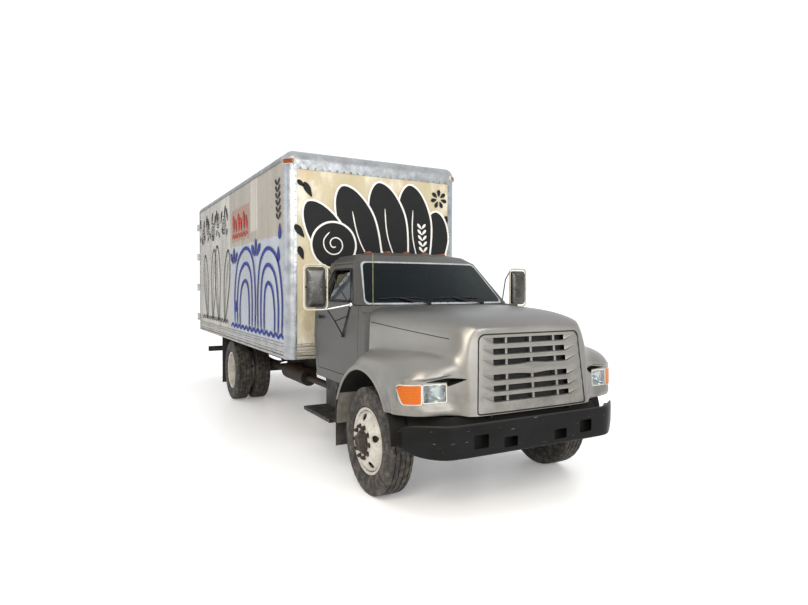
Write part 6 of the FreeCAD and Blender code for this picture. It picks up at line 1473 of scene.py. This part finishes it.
# Seats: two bucket seats, each a cushion and a back of foam under black vinyl, with a rolled front edge. The
# foam swells against its cover, so each pad is inflated a little from a smaller shape.
vinyl = finish("black_seat_vinyl", ("131314", "1b1b1c", "242425"), 0.15, (0.45, 0.6), 0, 0.0016, 0.0002,
               Specular_IOR_Level=0.35)
MOST_SWELL = 0.022
for name, size, place, tilt in (("seat_cushion", (500, 440, 104), (0, FRONT_AXLE_Y + 1085, 1166), 4),
                                ("seat_back", (500, 96, 560), (0, FRONT_AXLE_Y + 1340, 1450), -12)):
    deselect_all()
    bpy.ops.mesh.primitive_cube_add(size=1)
    pad = bpy.context.object
    pad.data.transform(Matrix.Diagonal([v / 1000 for v in size] + [1]))
    pad.name = name
    use_modifier(pad, "BEVEL", width=0.034, segments=4)
    use_modifier(pad, "REMESH", mode="VOXEL", voxel_size=0.0095)
    cloth = pad.modifiers.new("swell", "CLOTH")
    cloth.settings.use_pressure = True
    cloth.settings.uniform_pressure_force = 4
    cloth.settings.effector_weights.gravity = 0
    rest = [v.co.copy() for v in pad.data.vertices]
    for step in range(1, 21):
        scene.frame_set(step)
    swollen = pad.evaluated_get(bpy.context.evaluated_depsgraph_get()).data
    for v, old, new in zip(pad.data.vertices, rest, [w.co.copy() for w in swollen.vertices]):
        move = new - old
        v.co = old + move * min(1, MOST_SWELL / max(move.length, 1e-6))
    pad.modifiers.clear()
    scene.frame_set(1)
    use_modifier(pad, "SUBSURF", levels=1, render_levels=1)
    pad.data.transform(Matrix.Translation(Vector(place) / 1000) @ Matrix.Rotation(math.radians(tilt), 4, "X"))
    for side, label in ((-480, "right"), (480, "left")):
        made = copy_of(pad, f"{name}_{label}")
        made.data.transform(Matrix.Translation((side / 1000, 0, 0)))
        for polygon in made.data.polygons:
            polygon.use_smooth = True
        dressed(made, vinyl, "truck")
        if name == "seat_cushion" and label == "right":
            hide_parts("seats")
    bpy.data.objects.remove(pad)

# Cab trim: a moulded dashboard and a steering wheel of hard black plastic, and seat boxes of painted steel bolted
# to the floor.
dash_plastic = finish("moulded_dash_plastic", ("17181a", "1f2022", "292a2c"), 0.3, (0.5, 0.65), 0, 0.0014, 0.0002,
                      Specular_IOR_Level=0.3)
coat(dash_plastic, "dashboard", "steering_wheel")
coat(satin_black, "seat_bases")

# Chassis: pressed steel rails, a rear bumper and a battery box, bolted and riveted together, in black enamel gone
# dull, brown with rust and dust below.
frame_enamel = finish("dull_frame_enamel", ("0e0d0c", "171513", "211e1a"), 0.2, (0.6, 0.85), 0, 0.005, 0.0004,
                      Specular_IOR_Level=0.3,
                      marks=(("4b3a2b", 0.07, 0.55, 0.72, 0.6, None, EVEN),
                             ("574e42", 0.25, 0.5, 0.75, 0.5, None, EVEN)))
coat(frame_enamel, "chassis_frame", "rear_bumper", "battery_box")

# Running gear: cast and forged axles, knuckles, rod and shafts, black with grease, clamped to springs of rusted
# steel leaves.
coat(hub_iron, "front_axle", "rear_axle", "driveline", "knuckle_left", "knuckle_right", "tie_rod")
spring_rust = finish("rusted_spring_steel", ("2a1d14", "3b2a1d", "4f3a29"), 0.06, (0.65, 0.85), 0.3, 0.003, 0.0004,
                     stretch=(1, 0.3, 6))
coat(spring_rust, "leaf_springs")

# Engine bay and tank: a cast iron engine in enamel under oil and dust, an exhaust of welded steel pipe stained by
# heat, a fuel tank of brushed aluminium in straps, and a radiator with a soldered core of black fins.
engine_paint = finish("oily_engine_enamel", ("1c1f22", "2a2e32", "3a3e41"), 0.09, (0.35, 0.7), 0.2, 0.006, 0.0008,
                      marks=(("120f0b", 0.08, 0.5, 0.68, 0.8, None, EVEN),))
coat(engine_paint, "engine_block")
exhaust_steel = finish("heat_stained_exhaust_steel", ("1f1b18", "302a25", "433a33"), 0.15, (0.5, 0.75), 0.6,
                       marks=(("5a3019", 0.06, 0.52, 0.68, 0.8, None, EVEN),))
coat(exhaust_steel, "exhaust")
tank_metal = finish("brushed_tank_aluminium", ("8d8f90", "a3a5a6", "b4b6b6"), 0.2, (0.3, 0.5), 0.85,
                    stretch=(30, 0.6, 30), marks=(("5a5348", 0.15, 0.5, 0.75, 0.6, (0.8, 0.4), EVEN),))
coat(tank_metal, "fuel_tank")
# the radiator's fins are painted darker in their grooves, as painted shade
core_black = ribbed("radiator_core_enamel", "101112", 0.55, "Z", 60, ("050506", "1a1b1c"), 0.002,
                    Specular_IOR_Level=0.3)
coat(core_black, "radiator")

# Steps and mudflaps: steps of folded steel whose black enamel is scuffed by boots, and flaps of black rubber under
# dust, bolted along their top edges.
step_paint = finish("scuffed_step_enamel", ("101010", "1a1a19", "262523"), 0.25, (0.5, 0.75), 0, 0.012, 0.0012,
                    Specular_IOR_Level=0.35,
                    marks=(("6d675c", 0.12, 0.5, 0.7, 0.5, None, EVEN),))
coat(step_paint, "cab_steps")
flap_rubber = finish("dusty_flap_rubber", ("151514", "201f1d", "2e2b27"), 0.3, (0.7, 0.9), 0, 0.004, 0.0003,
                     marks=(("6b6356", 0.12, 0.48, 0.72, 0.6, (0.7, 0.2), (1, 1, 0.4)),))
coat(flap_rubber, "mudflaps")

# Tail lamps: ribbed lenses of red plastic, screwed over their sockets in the rear frame. The ribs are moulded in,
# and the lens is painted darker in their grooves, as painted shade in lines.
red_plastic = ribbed("red_lens_plastic", "8d1210", 0.15, "X", 36, ("6e0c0b", "a81a15"), 0.0015,
                     Transmission_Weight=0.3, IOR=1.5)
coat(red_plastic, "tail_lamps")

# Cab and doors: a shell and doors of pressed and welded steel, in the hood's silver enamel gone duller. It is
# painted darker as well, as painted shade, and it grows darker towards the bottom in blotches.
cab_enamel_shaded = finish("cab_enamel_dull_and_painted_shade", ("403f3d", "4b4a47", "555451"), 0.7, (0.36, 0.48), 0.6, 0.0025, 0.00006,
                    marks=(("3b3833", 0.15, 0.4, 0.7, 0.5, (1.2, 0.8), EVEN),), Coat_Weight=0.1, Coat_Roughness=0.33)
coat(cab_enamel_shaded, "cab_shell", "door_left", "door_right")
